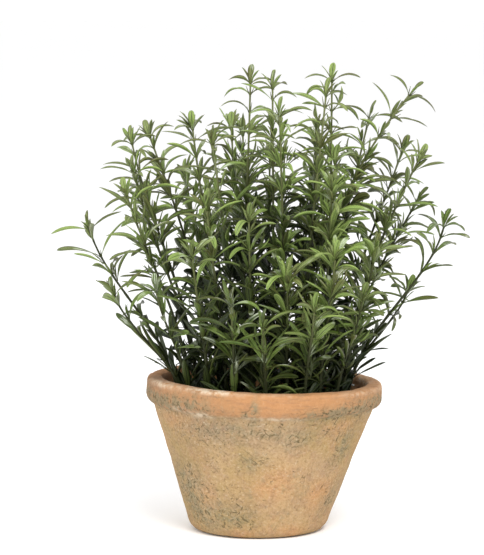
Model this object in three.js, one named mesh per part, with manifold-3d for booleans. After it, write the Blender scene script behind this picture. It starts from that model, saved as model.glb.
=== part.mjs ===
// Potted rosemary: leafy sprigs that stand in the soil of a weathered clay half-pot.
// Millimetres, +Z up. The origin is on the surface, under the middle of the plant's spread.
import * as THREE from 'three';
import { mergeVertices } from 'three/addons/utils/BufferGeometryUtils.js';
import Module from 'manifold-3d';

const wasm = await Module();
wasm.setup();

// Middle of the leaves' spread, and the pot's axis, in the frame that the sprigs are laid out in
const SPREAD_MIDDLE = { x: -2.2, y: 4 };
const POT_AXIS_X = -4.3;

// Pot: straight flared body, rounded foot and thick rolled rim
const POT_HEIGHT = 89.5;
const RIM_RADIUS = 70;
const RIM_BAND = 13.5;
const RIM_WALL = 10.5;
const SHOULDER_RADIUS = 65.4;
const FOOT_RADIUS = 35;
const FOOT_ROUND_RADIUS = 42.4;
const FOOT_ROUND_HEIGHT = 7.5;
const FOOT_BEND = { inwards: 1.5, up: 0.3 };
const INNER_FOOT_RADIUS = 34;
const INNER_TOP = 84.5;
const RIM_UNDER = { below: 1.5, above: 4.5 };
const RIM_ROUND = 3;
const RIM_INNER_BEND = 0.4;
const FLOOR = 10;
const EDGE_ROUND = 2;
const ROUND_STEPS = 2;
const TURNS = 44;

// The hand-made pot leans: its rim sits to the right of its foot and tips down on that side
const RIM_DRIFT = 3.8;
const RIM_TIP = Math.tan(THREE.MathUtils.degToRad(2));

// Soil: fills the pot to just under the rim, a little higher in the middle
const SOIL_GAP = 0.3;
const SOIL_EDGE_Z = 75.5;
const SOIL_MIDDLE_Z = 76.8;
const SOIL_CROWN_SHARE = 0.55;
const SOIL_CROWN_Z = 76.6;
const SOIL_FOOT_GAP = 0.6;

// Stems: square, thinner towards the tip, standing in plain holes in the soil
const STEM_START_Z = 78.5;
const ROOT_DEPTH = 12;
const HOLE_CLEARANCE = 0.35;
const HOLE_TOP = 6;
const STEM_HALF_FOOT = 0.9;
const STEM_HALF_TIP = 0.55;
const STEM_FOOT_LEAN = 0.08;
const STEM_FOOT_RISE = 0.38;
const STEM_TIP_BEND = 0.32;
const PATH_STEPS = 120;

// Nodes, counted from the tip: opposite leaves, each pair a quarter turn from the last
const NODE_GAPS = [6.5, 10.5, 13, 15];
const LOWER_NODE_GAP = 17;
const FIRST_NODE = 7;
const SPARSE_BELOW = 4;
const BAND_HALF = 0.85;

// Leaves: narrow straps with a keel below, arching outwards, from the soil to the top of the plant.
// Lift is the leaf's angle off the stem at its root, and bend how far it turns on the way to its tip.
const PLANT_RISE = 190;
const LEAF_LENGTH = { low: 25, high: 22.5, spread: 3.5 };
const LEAF_WIDTH = { low: 3.9, high: 2.6, spread: 0.5 };
const LEAF_LIFT = { low: 34, high: 46, spread: 14 };
const LEAF_BEND = { low: 50, high: 72, spread: 36 };
const LEAF_TWIST = 0.9;
const LEAF_TURN = 0.3;
const LEAF_KEEL = 0.9;
const LEAF_STATIONS = [0.34, 0.68];
const LEAF_STATION_WIDTHS = [0.78, 1];

// An end node bears a long arching pair, and a shorter and steeper pair inside it
const END_PAIRS = [
  { length: 0.88, lift: 46, bend: 74 },
  { length: 0.5, lift: 20, bend: 38 },
];

// Leaves near the soil are longer and stand steeper
const LOW_LEAVES = { below: 0.12, length: 1.1, lift: 0.75, bend: 0.7 };

const TIP_LEAF_LENGTH = 12;
const TIP_LEAF_HALF_WIDTH = 1.3;
const TIP_LEAF_HALF_DEPTH = 0.4;
const TIP_LEAF_WIDEST = 0.5;

// A leaf that would meet another is tried shorter, pitched and turned, in this order
const TRY_SHRINKS = [1, 0.84, 0.68];
const TRY_PITCHES = [0, -0.22, 0.22, -0.4];
const TRY_TURNS = [0, 0.28, -0.28, 0.5, -0.5];
const LEAST_LIFT = 0.2;

// Rods that stand for a leaf and a stem when their room is measured
const ROOT_ROD = { at: 0.12, radius: 0.45 };
const TIP_ROD_RADIUS = 0.3;
const STEM_ROD_SHARE = 1.4;
const LEAF_REACH = { share: 0.55, pad: 3 };
const STEM_REACH_PAD = 2;

// Room that leaves keep to their own sprig, to other sprigs, to the rim and to the soil
const OWN_GAP = 0.15;
const LEAF_GAP = 0.62;
const RIM_CLEAR = { x: -0.5, radius: 55, z: 98, slope: 1.1 };
const SOIL_CLEAR_Z = 80.5;

// Sprigs that the front view shows, from root to end node; sweep bends the tip outwards
const SEEN_SPRIGS = [
  { root: [-52, 2], tip: [-104, 0, 178], sweep: 0.5 },
  { root: [49, 2], tip: [105, -5, 180], sweep: 0.4 },
  { root: [46, 14], tip: [90, 16, 193], sweep: 1.5 },
  { root: [24, 12], tip: [85, 12, 257], sweep: 2.4 },
  { root: [46, -6], tip: [89, -11, 219], sweep: 1.6 },
  { root: [38, 2], tip: [39, 2, 265], sweep: 1 },
  { root: [21, -14], tip: [35, -13, 257], sweep: 1.3 },
  { root: [5, 3], tip: [4, 0, 261], sweep: 1 },
  { root: [-14, 8], tip: [-9, 11, 264], sweep: 1 },
  { root: [12, -12], tip: [8, -21, 246], sweep: 1 },
  { root: [26, 24], tip: [31, 27, 234], sweep: 1 },
  { root: [-27, 0], tip: [-43, -1, 237], sweep: 1.2 },
  { root: [-16, -10], tip: [-31, -14, 229], sweep: 1.2 },
  { root: [-40, 8], tip: [-79, 8, 228], sweep: 0.8 },
  { root: [-31, 16], tip: [-69, 27, 231], sweep: 1.5 },
  { root: [-44, -10], tip: [-81, -19, 199], sweep: 1 },
  { root: [12, -38], tip: [12, -52, 155], sweep: 0.6 },
  { root: [45, -18], tip: [63, -38, 168], sweep: 0.6 },
  { root: [33, -22], tip: [38, -36, 204], sweep: 0.8 },
  { root: [-23, -24], tip: [-34, -47, 193], sweep: 0.8 },
  { root: [31, -35], tip: [39, -62, 166], sweep: 0.6 },
  { root: [-33, -34], tip: [-42, -66, 167], sweep: 0.6 },
  { root: [22, -44], tip: [27, -71, 137], sweep: 0.6 },
  { root: [41, -29], tip: [55, -52, 141], sweep: 0.6 },
  { root: [-48, -20], tip: [-88, -30, 142], sweep: 0.5 },
  { root: [-44, -28], tip: [-63, -52, 146], sweep: 0.6 },
  { root: [-18, -44], tip: [-20, -69, 140], sweep: 0.6 },
  { root: [0, -48], tip: [-2, -72, 128], sweep: 0.5 },
  { root: [-8, -27], tip: [-10, -46, 186], sweep: 0.8 },
  { root: [48, 9], tip: [84, 4, 140], sweep: 0.6 },
  { root: [34, 14], tip: [62, 25, 243], sweep: 1.4 },
  { root: [41, 21], tip: [82, 32, 222], sweep: 1.2 },
];

// Sprigs of the back half, spread by the golden ratio under a dome
const BACK_SPRIGS = 11;
const BACK_FIRST_ANGLE = THREE.MathUtils.degToRad(-12);
const BACK_ARC = THREE.MathUtils.degToRad(204);
const GOLDEN = 0.6180339887;
const BACK_REACH = [30, 84];
const BACK_ROOT_SHARE = 0.52;
const BACK_ROOT_LIMIT = 49;
const BACK_SWEEP = 0.8;
const BACK_TRIES = 12;
const BACK_TRY_TURN = 0.09;
const BACK_TRY_SHRINK = 0.05;
const BACK_ROOM = 7;
const DOME_RADIUS = 122;
const DOME_RISE = 176;
const DOME_LEAST = 0.84;
const DOME_LEVELS = 7;
const DOME_STRIDE = 5;
const SHRINKING_TRIES = 4;

const SEED = 11;

// Seeded draws
class Dice {
  constructor(seed) {
    this.state = seed;
  }

  throw() {
    this.state = (this.state * 16807) % 2147483647;
    return this.state / 2147483647;
  }

  spread(half) {
    return (2 * this.throw() - 1) * half;
  }
}

const mix = (a, ka, b, kb) => a.clone().multiplyScalar(ka).addScaledVector(b, kb);
const apart = (a, b) => a.clone().sub(b);

// Distance between two tapered rods, each given by its ends { at, radius }
function rodGap(a, b, c, d) {
  const first = apart(b.at, a.at);
  const second = apart(d.at, c.at);
  const between = apart(a.at, c.at);
  const aa = first.dot(first);
  const ee = second.dot(second);
  const ff = second.dot(between);
  const cc = first.dot(between);
  const bb = first.dot(second);
  const den = aa * ee - bb * bb;
  let s = den > 1e-9 ? Math.min(1, Math.max(0, (bb * ff - cc * ee) / den)) : 0;
  let t = (bb * s + ff) / ee;
  if (t < 0) {
    t = 0;
    s = Math.min(1, Math.max(0, -cc / aa));
  } else if (t > 1) {
    t = 1;
    s = Math.min(1, Math.max(0, (bb - cc) / aa));
  }
  const gap = apart(mix(a.at, 1, first, s), mix(c.at, 1, second, t)).length();
  return gap - (a.radius + (b.radius - a.radius) * s) - (c.radius + (d.radius - c.radius) * t);
}

// Smallest gap between two chains of rods
function chainGap(one, other) {
  let least = Infinity;
  for (let i = 0; i + 1 < one.length; i += 1) {
    for (let j = 0; j + 1 < other.length; j += 1) {
      least = Math.min(least, rodGap(one[i], one[i + 1], other[j], other[j + 1]));
    }
  }
  return least;
}

// One sprig's stem: its curve, and its nodes with the frame that the leaves take
class Sprig {
  constructor({ root, tip, sweep }, twist) {
    const rise = tip[2] - STEM_START_Z;
    const lean = [tip[0] - root[0], tip[1] - root[1]];
    this.foot = new THREE.Vector3(root[0], root[1], STEM_START_Z);
    this.curve = new THREE.CubicBezierCurve3(
      this.foot,
      new THREE.Vector3(
        root[0] + lean[0] * STEM_FOOT_LEAN,
        root[1] + lean[1] * STEM_FOOT_LEAN,
        STEM_START_Z + rise * STEM_FOOT_RISE,
      ),
      new THREE.Vector3(
        tip[0] - lean[0] * sweep * STEM_TIP_BEND,
        tip[1] - lean[1] * sweep * STEM_TIP_BEND,
        tip[2] - rise * STEM_TIP_BEND,
      ),
      new THREE.Vector3(...tip),
    );
    this.placeNodes(twist);
  }

  placeNodes(twist) {
    const points = this.curve.getPoints(PATH_STEPS);
    const lengths = [0];
    for (let i = 1; i < points.length; i += 1) {
      lengths.push(lengths[i - 1] + points[i].distanceTo(points[i - 1]));
    }
    const full = lengths[PATH_STEPS];
    const spots = [full];
    for (let next = full - NODE_GAPS[0]; next >= FIRST_NODE;) {
      spots.push(next);
      next -= NODE_GAPS[spots.length - 1] ?? LOWER_NODE_GAP;
    }
    this.start = apart(points[1], points[0]).normalize();
    this.nodes = [];
    let side = new THREE.Vector3(Math.cos(twist), Math.sin(twist), 0);
    for (let rank = spots.length - 1; rank >= 0; rank -= 1) {
      let i = 0;
      while (i < PATH_STEPS - 1 && lengths[i + 1] < spots[rank]) i += 1;
      const share = (spots[rank] - lengths[i]) / (lengths[i + 1] - lengths[i]);
      const before = points[Math.max(0, i - 1)];
      const after = points[Math.min(PATH_STEPS, i + 2)];
      const along = apart(after, before).normalize();
      side = mix(side, 1, along, -along.dot(side)).normalize();
      this.nodes.push({
        rank,
        along,
        side,
        place: mix(points[i], 1 - share, points[i + 1], share),
        half: THREE.MathUtils.lerp(STEM_HALF_FOOT, STEM_HALF_TIP, spots[rank] / full),
        leaves: [],
      });
    }
  }

  // The bare centre line, for the distance from stem to stem
  line() {
    const below = mix(this.foot, 1, this.start, -ROOT_DEPTH);
    const places = [below, this.foot, ...this.nodes.map((node) => node.place)];
    return places.map((at) => ({ at, radius: 0 }));
  }

  // A place on the end leaf, by its share of the leaf's length
  onTipLeaf(share) {
    const { place, along } = this.nodes.at(-1);
    return mix(place, 1, along, TIP_LEAF_LENGTH * share);
  }

  // The stem and its end leaf as a chain of rods above the soil
  rods() {
    const nodes = this.nodes.map(({ place, half }) => ({ at: place, radius: half * STEM_ROD_SHARE }));
    return [
      { at: this.foot, radius: STEM_HALF_FOOT * STEM_ROD_SHARE },
      ...nodes,
      { at: this.onTipLeaf(TIP_LEAF_WIDEST), radius: TIP_LEAF_HALF_WIDTH },
      { at: this.onTipLeaf(1), radius: TIP_ROD_RADIUS },
    ];
  }
}

// One leaf: a circular arc that leaves the stem at lift and turns by bend on the way to its tip
class Leaf {
  constructor(root, along, out, size) {
    Object.assign(this, { root, along, out, ...size });
  }

  at(s) {
    const angle = this.lift + this.bend * s;
    const up = (Math.sin(angle) - Math.sin(this.lift)) / this.bend;
    const off = (Math.cos(this.lift) - Math.cos(angle)) / this.bend;
    return this.root.clone()
      .addScaledVector(this.along, up * this.length)
      .addScaledVector(this.out, off * this.length);
  }

  rods() {
    const [near, far] = LEAF_STATION_WIDTHS.map((share) => (share * this.width) / 2);
    return [
      { at: this.at(ROOT_ROD.at), radius: ROOT_ROD.radius },
      { at: this.at(LEAF_STATIONS[0]), radius: near },
      { at: this.at(LEAF_STATIONS[1]), radius: far },
      { at: this.at(1), radius: TIP_ROD_RADIUS },
    ];
  }

  // Keel, right edge and left edge of the three-sided section at a station
  section(station) {
    const s = LEAF_STATIONS[station];
    const angle = this.lift + this.bend * s;
    const across = new THREE.Vector3().crossVectors(this.along, this.out);
    const upper = mix(this.along, Math.sin(angle), this.out, -Math.cos(angle));
    const turn = this.twist * s;
    const right = mix(across, Math.cos(turn), upper, Math.sin(turn));
    const face = mix(upper, Math.cos(turn), across, -Math.sin(turn));
    const half = (LEAF_STATION_WIDTHS[station] * this.width) / 2;
    const centre = this.at(s);
    return [mix(centre, 1, face, -LEAF_KEEL), mix(centre, 1, right, half), mix(centre, 1, right, -half)];
  }
}

// All sprigs, with leaves placed from the tips downwards wherever they clear what stands already
class Bush {
  constructor() {
    this.dice = new Dice(SEED);
    this.sprigs = SEEN_SPRIGS.map((row) => new Sprig(row, this.twist()));
    for (let i = 0; i < BACK_SPRIGS; i += 1) {
      this.sprigs.push(this.backSprig(i));
    }
    this.stems = this.sprigs.map((sprig) => ({ sprig, rods: sprig.rods() }));
    this.leaves = [];
    this.grow();
  }

  twist() {
    return (this.dice.throw() * Math.PI) / 2;
  }

  // The first place tried that keeps its room to the stems that stand, or else the roomiest
  backSprig(index) {
    const share = (index + 0.5) / BACK_SPRIGS;
    let best = null;
    for (let attempt = 0; attempt < BACK_TRIES; attempt += 1) {
      const angle = BACK_FIRST_ANGLE + BACK_ARC * ((index * GOLDEN + attempt * BACK_TRY_TURN) % 1);
      const full = BACK_REACH[0] + (BACK_REACH[1] - BACK_REACH[0]) * Math.sqrt(share);
      const reach = full * (1 - BACK_TRY_SHRINK * (attempt % SHRINKING_TRIES));
      const dome = DOME_RISE * Math.sqrt(1 - (reach / DOME_RADIUS) ** 2);
      const level = ((index * DOME_STRIDE) % DOME_LEVELS) / (DOME_LEVELS - 1);
      const tipZ = STEM_START_Z + dome * THREE.MathUtils.lerp(DOME_LEAST, 1, level);
      const root = Math.min(BACK_ROOT_LIMIT, reach * BACK_ROOT_SHARE);
      const sprig = new Sprig({
        root: [root * Math.cos(angle), root * Math.sin(angle)],
        tip: [reach * Math.cos(angle), reach * Math.sin(angle), tipZ],
        sweep: BACK_SWEEP,
      }, this.twist());
      const room = Math.min(...this.sprigs.map((other) => chainGap(sprig.line(), other.line())));
      if (best === null || room > best.room) best = { room, sprig };
      if (room > BACK_ROOM) break;
    }
    return best.sprig;
  }

  grow() {
    const deepest = Math.max(...this.sprigs.map((sprig) => sprig.nodes[0].rank));
    for (let rank = 0; rank <= deepest; rank += 1) {
      if (rank >= SPARSE_BELOW && rank % 2 === 0) continue;
      for (const sprig of this.sprigs) {
        const node = sprig.nodes.find((candidate) => candidate.rank === rank);
        if (!node) continue;
        const faces = rank === 0 ? [0, 2, 1, 3] : [rank % 2, (rank % 2) + 2];
        for (const face of faces) this.growLeaf(sprig, node, face);
      }
    }
  }

  // A value for a height from 0 to 1, with its seeded spread
  draw({ low, high, spread }, height) {
    return THREE.MathUtils.lerp(low, high, height) + this.dice.spread(spread);
  }

  drawLeaf(node, face) {
    const { degToRad } = THREE.MathUtils;
    const height = (node.place.z - STEM_START_Z) / PLANT_RISE;
    const size = {
      length: this.draw(LEAF_LENGTH, height),
      width: this.draw(LEAF_WIDTH, height),
      lift: degToRad(this.draw(LEAF_LIFT, height)),
      bend: degToRad(this.draw(LEAF_BEND, height)),
      twist: this.dice.spread(LEAF_TWIST),
      turn: this.dice.spread(LEAF_TURN),
    };
    if (node.rank === 0) {
      const pair = END_PAIRS[face % 2];
      size.length *= pair.length;
      size.lift = degToRad(pair.lift);
      size.bend = degToRad(pair.bend);
    }
    if (height < LOW_LEAVES.below) {
      size.length *= LOW_LEAVES.length;
      size.lift *= LOW_LEAVES.lift;
      size.bend *= LOW_LEAVES.bend;
    }
    return size;
  }

  growLeaf(sprig, node, face) {
    const size = this.drawLeaf(node, face);
    const across = new THREE.Vector3().crossVectors(node.along, node.side);
    const square = (face * Math.PI) / 2;
    const normal = mix(node.side, Math.cos(square), across, Math.sin(square));
    const root = mix(node.place, 1, normal, node.half);
    for (const shrink of TRY_SHRINKS) {
      for (const pitch of TRY_PITCHES) {
        for (const turn of TRY_TURNS) {
          const angle = square + size.turn + turn;
          const out = mix(node.side, Math.cos(angle), across, Math.sin(angle));
          const leaf = new Leaf(root, node.along, out, {
            length: size.length * shrink,
            width: (size.width * (1 + shrink)) / 2,
            lift: Math.max(LEAST_LIFT, size.lift + pitch),
            bend: size.bend,
            twist: size.twist,
          });
          const reach = leaf.length * LEAF_REACH.share + LEAF_REACH.pad;
          const stand = { sprig, rods: leaf.rods(), middle: leaf.at(0.5), reach };
          if (this.clears(stand)) {
            node.leaves.push({ face, leaf });
            this.leaves.push(stand);
            return;
          }
        }
      }
    }
  }

  clears(stand) {
    for (const { at } of stand.rods.slice(1)) {
      const reach = RIM_CLEAR.radius + Math.max(0, at.z - RIM_CLEAR.z) * RIM_CLEAR.slope;
      if (Math.hypot(at.x - RIM_CLEAR.x, at.y) > reach || at.z < SOIL_CLEAR_Z) return false;
    }
    for (const other of this.leaves) {
      if (stand.middle.distanceTo(other.middle) > stand.reach + other.reach) continue;
      const room = other.sprig === stand.sprig ? OWN_GAP : LEAF_GAP;
      if (chainGap(stand.rods, other.rods) < room) return false;
    }
    for (const { sprig, rods } of this.stems) {
      if (sprig === stand.sprig) continue;
      for (let i = 0; i + 1 < rods.length; i += 1) {
        const pair = [rods[i], rods[i + 1]];
        const middle = mix(pair[0].at, 0.5, pair[1].at, 0.5);
        const reach = pair[0].at.distanceTo(pair[1].at) / 2 + STEM_REACH_PAD;
        if (stand.middle.distanceTo(middle) > stand.reach + reach) continue;
        if (chainGap(stand.rods, pair) < LEAF_GAP) return false;
      }
    }
    return true;
  }
}

// A closed skin that grows point by point and face by face
class Skin {
  constructor() {
    this.positions = [];
    this.indices = [];
  }

  point(at) {
    this.positions.push(at.x, at.y, at.z);
    return this.positions.length / 3 - 1;
  }

  ring(points) {
    return points.map((at) => this.point(at));
  }

  triangle(a, b, c) {
    this.indices.push(a, b, c);
  }

  quad(a, b, c, d) {
    this.indices.push(a, b, c, a, c, d);
  }

  // Sides from one ring to the next, both counter-clockwise seen from the far end
  band(near, far) {
    near.forEach((a, i) => {
      const next = (i + 1) % near.length;
      this.quad(a, near[next], far[next], far[i]);
    });
  }

  close(ring, tip) {
    ring.forEach((a, i) => this.triangle(a, ring[(i + 1) % ring.length], tip));
  }

  geometry() {
    const geometry = new THREE.BufferGeometry();
    geometry.setAttribute('position', new THREE.Float32BufferAttribute(this.positions, 3));
    geometry.setIndex(this.indices);
    return geometry;
  }
}

// The four corners of a stem, face f lying between corners f and f + 1
function stemCorners(place, along, side, halfSide, halfAcross = halfSide) {
  const across = new THREE.Vector3().crossVectors(along, side);
  return [[1, -1], [1, 1], [-1, 1], [-1, -1]].map(([u, v]) => place.clone()
    .addScaledVector(side, u * halfSide)
    .addScaledVector(across, v * halfAcross));
}

function addLeaf(skin, leaf, keel, right, left) {
  const near = skin.ring(leaf.section(0));
  const far = skin.ring(leaf.section(1));
  skin.band([keel, right, left], near);
  skin.band(near, far);
  skin.close(far, skin.point(leaf.at(1)));
}

// The stem's stretch at a node, with a leaf drawn out of half of each face that bears one
function addLeafBand(skin, lower, upper, leaves) {
  for (let face = 0; face < 4; face += 1) {
    const next = (face + 1) % 4;
    const grown = leaves.find((candidate) => candidate.face === face);
    if (grown) {
      skin.triangle(lower[face], lower[next], upper[next]);
      addLeaf(skin, grown.leaf, lower[face], upper[next], upper[face]);
    } else {
      skin.quad(lower[face], lower[next], upper[next], upper[face]);
    }
  }
}

function sprigGeometry(sprig) {
  const skin = new Skin();
  const { side } = sprig.nodes[0];
  const level = mix(side, 1, sprig.start, -sprig.start.dot(side)).normalize();
  const below = mix(sprig.foot, 1, sprig.start, -ROOT_DEPTH);
  const bottom = skin.ring(stemCorners(below, sprig.start, level, STEM_HALF_FOOT));
  skin.quad(bottom[3], bottom[2], bottom[1], bottom[0]);
  let last = skin.ring(stemCorners(sprig.foot, sprig.start, level, STEM_HALF_FOOT));
  skin.band(bottom, last);
  for (const node of sprig.nodes) {
    if (node.leaves.length > 0) {
      const [lower, upper] = [-BAND_HALF, BAND_HALF].map((offset) => skin.ring(
        stemCorners(mix(node.place, 1, node.along, offset), node.along, node.side, node.half),
      ));
      skin.band(last, lower);
      addLeafBand(skin, lower, upper, node.leaves);
      last = upper;
    } else {
      const bend = skin.ring(stemCorners(node.place, node.along, node.side, node.half));
      skin.band(last, bend);
      last = bend;
    }
  }
  addTipLeaf(skin, last, sprig);
  return { geometry: skin.geometry(), foot: { below, level } };
}

// The upright leaf that ends the stem
function addTipLeaf(skin, last, sprig) {
  const { along, side } = sprig.nodes.at(-1);
  const widest = sprig.onTipLeaf(TIP_LEAF_WIDEST);
  const middle = skin.ring(
    stemCorners(widest, along, side, TIP_LEAF_HALF_DEPTH, TIP_LEAF_HALF_WIDTH),
  );
  skin.band(last, middle);
  skin.close(middle, skin.point(sprig.onTipLeaf(1)));
}

// Leans what is turned about the pot's axis: drift to +X with height, and the tip of the rim
function leanWithPot(geometry) {
  const position = geometry.getAttribute('position');
  for (let i = 0; i < position.count; i += 1) {
    const [x, y, z] = [position.getX(i), position.getY(i), position.getZ(i)];
    const share = z / POT_HEIGHT;
    position.setXYZ(i, x + POT_AXIS_X + RIM_DRIFT * share, y, z - RIM_TIP * x * share * share);
  }
  return geometry;
}

// A profile of radius and height turned about the pot's axis
function turned(profile) {
  const lathe = new THREE.LatheGeometry(profile, TURNS).rotateX(Math.PI / 2);
  lathe.deleteAttribute('normal');
  lathe.deleteAttribute('uv');
  return leanWithPot(mergeVertices(lathe, 1e-4));
}

const rimInside = RIM_RADIUS - RIM_WALL;

// Radius of the pot's inner wall at a height below the rim
function innerRadius(z) {
  const share = (z - FLOOR - EDGE_ROUND) / (INNER_TOP - FLOOR - EDGE_ROUND);
  return THREE.MathUtils.lerp(INNER_FOOT_RADIUS, rimInside, share);
}

function potGeometry() {
  const shoulder = POT_HEIGHT - RIM_BAND;
  const path = new THREE.Path()
    .moveTo(0, 0)
    .lineTo(FOOT_RADIUS, 0)
    .quadraticCurveTo(
      FOOT_ROUND_RADIUS - FOOT_BEND.inwards,
      FOOT_BEND.up,
      FOOT_ROUND_RADIUS,
      FOOT_ROUND_HEIGHT,
    )
    .lineTo(SHOULDER_RADIUS, shoulder - RIM_UNDER.below)
    .quadraticCurveTo(RIM_RADIUS, shoulder, RIM_RADIUS, shoulder + RIM_UNDER.above)
    .lineTo(RIM_RADIUS, POT_HEIGHT - RIM_ROUND)
    .quadraticCurveTo(RIM_RADIUS, POT_HEIGHT, RIM_RADIUS - RIM_ROUND, POT_HEIGHT)
    .lineTo(rimInside + RIM_ROUND, POT_HEIGHT)
    .quadraticCurveTo(rimInside + RIM_INNER_BEND, POT_HEIGHT, rimInside, INNER_TOP)
    .lineTo(INNER_FOOT_RADIUS, FLOOR + EDGE_ROUND)
    .quadraticCurveTo(INNER_FOOT_RADIUS, FLOOR, INNER_FOOT_RADIUS - EDGE_ROUND, FLOOR)
    .lineTo(0, FLOOR);
  return turned(path.getPoints(ROUND_STEPS));
}

function soilProfile() {
  const bottom = FLOOR + SOIL_GAP;
  const top = innerRadius(SOIL_EDGE_Z) - SOIL_GAP;
  return [
    [0, bottom],
    [INNER_FOOT_RADIUS - EDGE_ROUND - SOIL_GAP, bottom],
    [INNER_FOOT_RADIUS - SOIL_FOOT_GAP, FLOOR + EDGE_ROUND + SOIL_GAP],
    [top, SOIL_EDGE_Z],
    [top * SOIL_CROWN_SHARE, SOIL_CROWN_Z],
    [0, SOIL_MIDDLE_Z],
  ].map(([radius, z]) => new THREE.Vector2(radius, z));
}

function toSolid(geometry) {
  return new wasm.Manifold(new wasm.Mesh({
    numProp: 3,
    vertProperties: new Float32Array(geometry.getAttribute('position').array),
    triVerts: new Uint32Array(geometry.getIndex().array),
  }));
}

function toGeometry(solid) {
  const mesh = solid.getMesh();
  const geometry = new THREE.BufferGeometry();
  geometry.setAttribute('position', new THREE.Float32BufferAttribute(mesh.vertProperties, 3));
  geometry.setIndex(Array.from(mesh.triVerts));
  return geometry;
}

// The square hole that a sprig's foot stands in
function holeSolid(sprig, { below, level }) {
  const skin = new Skin();
  const half = STEM_HALF_FOOT + HOLE_CLEARANCE;
  const bottomAt = mix(below, 1, sprig.start, -HOLE_CLEARANCE);
  const topAt = mix(sprig.foot, 1, sprig.start, HOLE_TOP);
  const bottom = skin.ring(stemCorners(bottomAt, sprig.start, level, half));
  const top = skin.ring(stemCorners(topAt, sprig.start, level, half));
  skin.quad(bottom[3], bottom[2], bottom[1], bottom[0]);
  skin.band(bottom, top);
  skin.quad(top[0], top[1], top[2], top[3]);
  return toSolid(skin.geometry());
}

// One colour for each material
const clay = new THREE.MeshStandardMaterial({ color: '#c8a373', roughness: 0.92, metalness: 0 });
const peat = new THREE.MeshStandardMaterial({ color: '#2b221a', roughness: 1, metalness: 0 });
const leafGreen = new THREE.MeshStandardMaterial({ color: '#5b7a3c', roughness: 0.55, metalness: 0 });

function named(name, geometry, material) {
  const mesh = new THREE.Mesh(geometry, material);
  mesh.name = name;
  return mesh;
}

const object = new THREE.Group();
object.position.set(-SPREAD_MIDDLE.x, -SPREAD_MIDDLE.y, 0);

object.add(named('pot', toGeometry(toSolid(potGeometry())), clay));

const bush = new Bush();
let soil = toSolid(turned(soilProfile()));
bush.sprigs.forEach((sprig, index) => {
  const { geometry, foot } = sprigGeometry(sprig);
  object.add(named(`sprig_${String(index + 1).padStart(2, '0')}`, geometry, leafGreen));
  soil = soil.subtract(holeSolid(sprig, foot));
});
object.add(named('soil', toGeometry(soil), peat));

export default object;
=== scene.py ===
"""Potted rosemary: the finished clay pot, soil and leafy sprigs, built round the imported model.

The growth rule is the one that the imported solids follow, in millimetres and with the same seeded
draws, so that every finished leaf stands where its solid does. Meshes are in metres.
"""
import logging
import math
from dataclasses import dataclass, field, replace
from enum import Enum
from itertools import product, starmap
from typing import NamedTuple, Sequence

import bpy
import numpy as np
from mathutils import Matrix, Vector, noise


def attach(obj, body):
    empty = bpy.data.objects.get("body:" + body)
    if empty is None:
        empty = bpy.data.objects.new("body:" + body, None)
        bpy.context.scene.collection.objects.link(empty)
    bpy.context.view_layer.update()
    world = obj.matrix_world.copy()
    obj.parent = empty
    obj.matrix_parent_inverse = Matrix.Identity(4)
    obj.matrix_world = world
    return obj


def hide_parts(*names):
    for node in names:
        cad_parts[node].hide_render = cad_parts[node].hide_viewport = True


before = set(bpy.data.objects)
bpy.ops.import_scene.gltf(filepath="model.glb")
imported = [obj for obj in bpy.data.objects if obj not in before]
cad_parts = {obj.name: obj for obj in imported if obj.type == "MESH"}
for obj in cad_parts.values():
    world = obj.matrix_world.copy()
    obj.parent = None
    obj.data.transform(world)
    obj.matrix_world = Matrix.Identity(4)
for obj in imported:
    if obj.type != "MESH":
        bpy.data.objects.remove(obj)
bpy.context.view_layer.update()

BODY = "root"
MM = 0.001

# Middle of the leaves' spread and the pot's axis, in the frame that the sprigs are laid out in, mm
SPREAD_MIDDLE = (-2.2, 4.0)
POT_AXIS_X = -4.3

# Below this, two rods count as parallel
PARALLEL = 1e-9

Pair = tuple[float, float]
Trio = tuple[float, float, float]
Material = bpy.types.Material

log = logging.getLogger("rosemary")


class Place(NamedTuple):
    """A point or a direction in millimetres, held in double precision."""

    x: float
    y: float
    z: float

    def plus(self, other: "Place", share: float = 1.0) -> "Place":
        """This place moved along another by a share of it."""
        return Place(self.x + other.x * share, self.y + other.y * share, self.z + other.z * share)

    def less(self, other: "Place") -> "Place":
        """The step from the other place to this one."""
        return Place(self.x - other.x, self.y - other.y, self.z - other.z)

    def times(self, factor: float) -> "Place":
        """This place scaled about the origin."""
        return Place(self.x * factor, self.y * factor, self.z * factor)

    def dot(self, other: "Place") -> float:
        """Dot product with another direction."""
        return self.x * other.x + self.y * other.y + self.z * other.z

    def cross(self, other: "Place") -> "Place":
        """Cross product with another direction."""
        x, y = self.y * other.z - self.z * other.y, self.z * other.x - self.x * other.z
        return Place(x, y, self.x * other.y - self.y * other.x)

    def length(self) -> float:
        """Distance from the origin."""
        return math.sqrt(self.dot(self))

    def unit(self) -> "Place":
        """This direction at length one."""
        return self.times(1 / self.length())


def mix(first: Place, share: float, second: Place, other_share: float) -> Place:
    """Weighted sum of two places, each followed by its weight."""
    return first.times(share).plus(second, other_share)


def held(value: float) -> float:
    """The value held between 0 and 1."""
    return min(1.0, max(0.0, value))


class Dice:
    """Seeded draws."""

    FACTOR, MODULUS = 16807, 2147483647

    def __init__(self, seed: int) -> None:
        """Starts the draws from a seed."""
        self.state = seed

    def throw(self) -> float:
        """A draw from 0 to 1."""
        self.state = self.state * self.FACTOR % self.MODULUS
        return self.state / self.MODULUS

    def spread(self, half: float) -> float:
        """A draw from -half to half."""
        return (2 * self.throw() - 1) * half

    def between(self, low: float, high: float) -> float:
        """A draw from low to high."""
        return low + (high - low) * self.throw()


class Rod(NamedTuple):
    """One end of a tapered rod, for the room that leaves and stems keep."""

    at: Place
    radius: float


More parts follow.
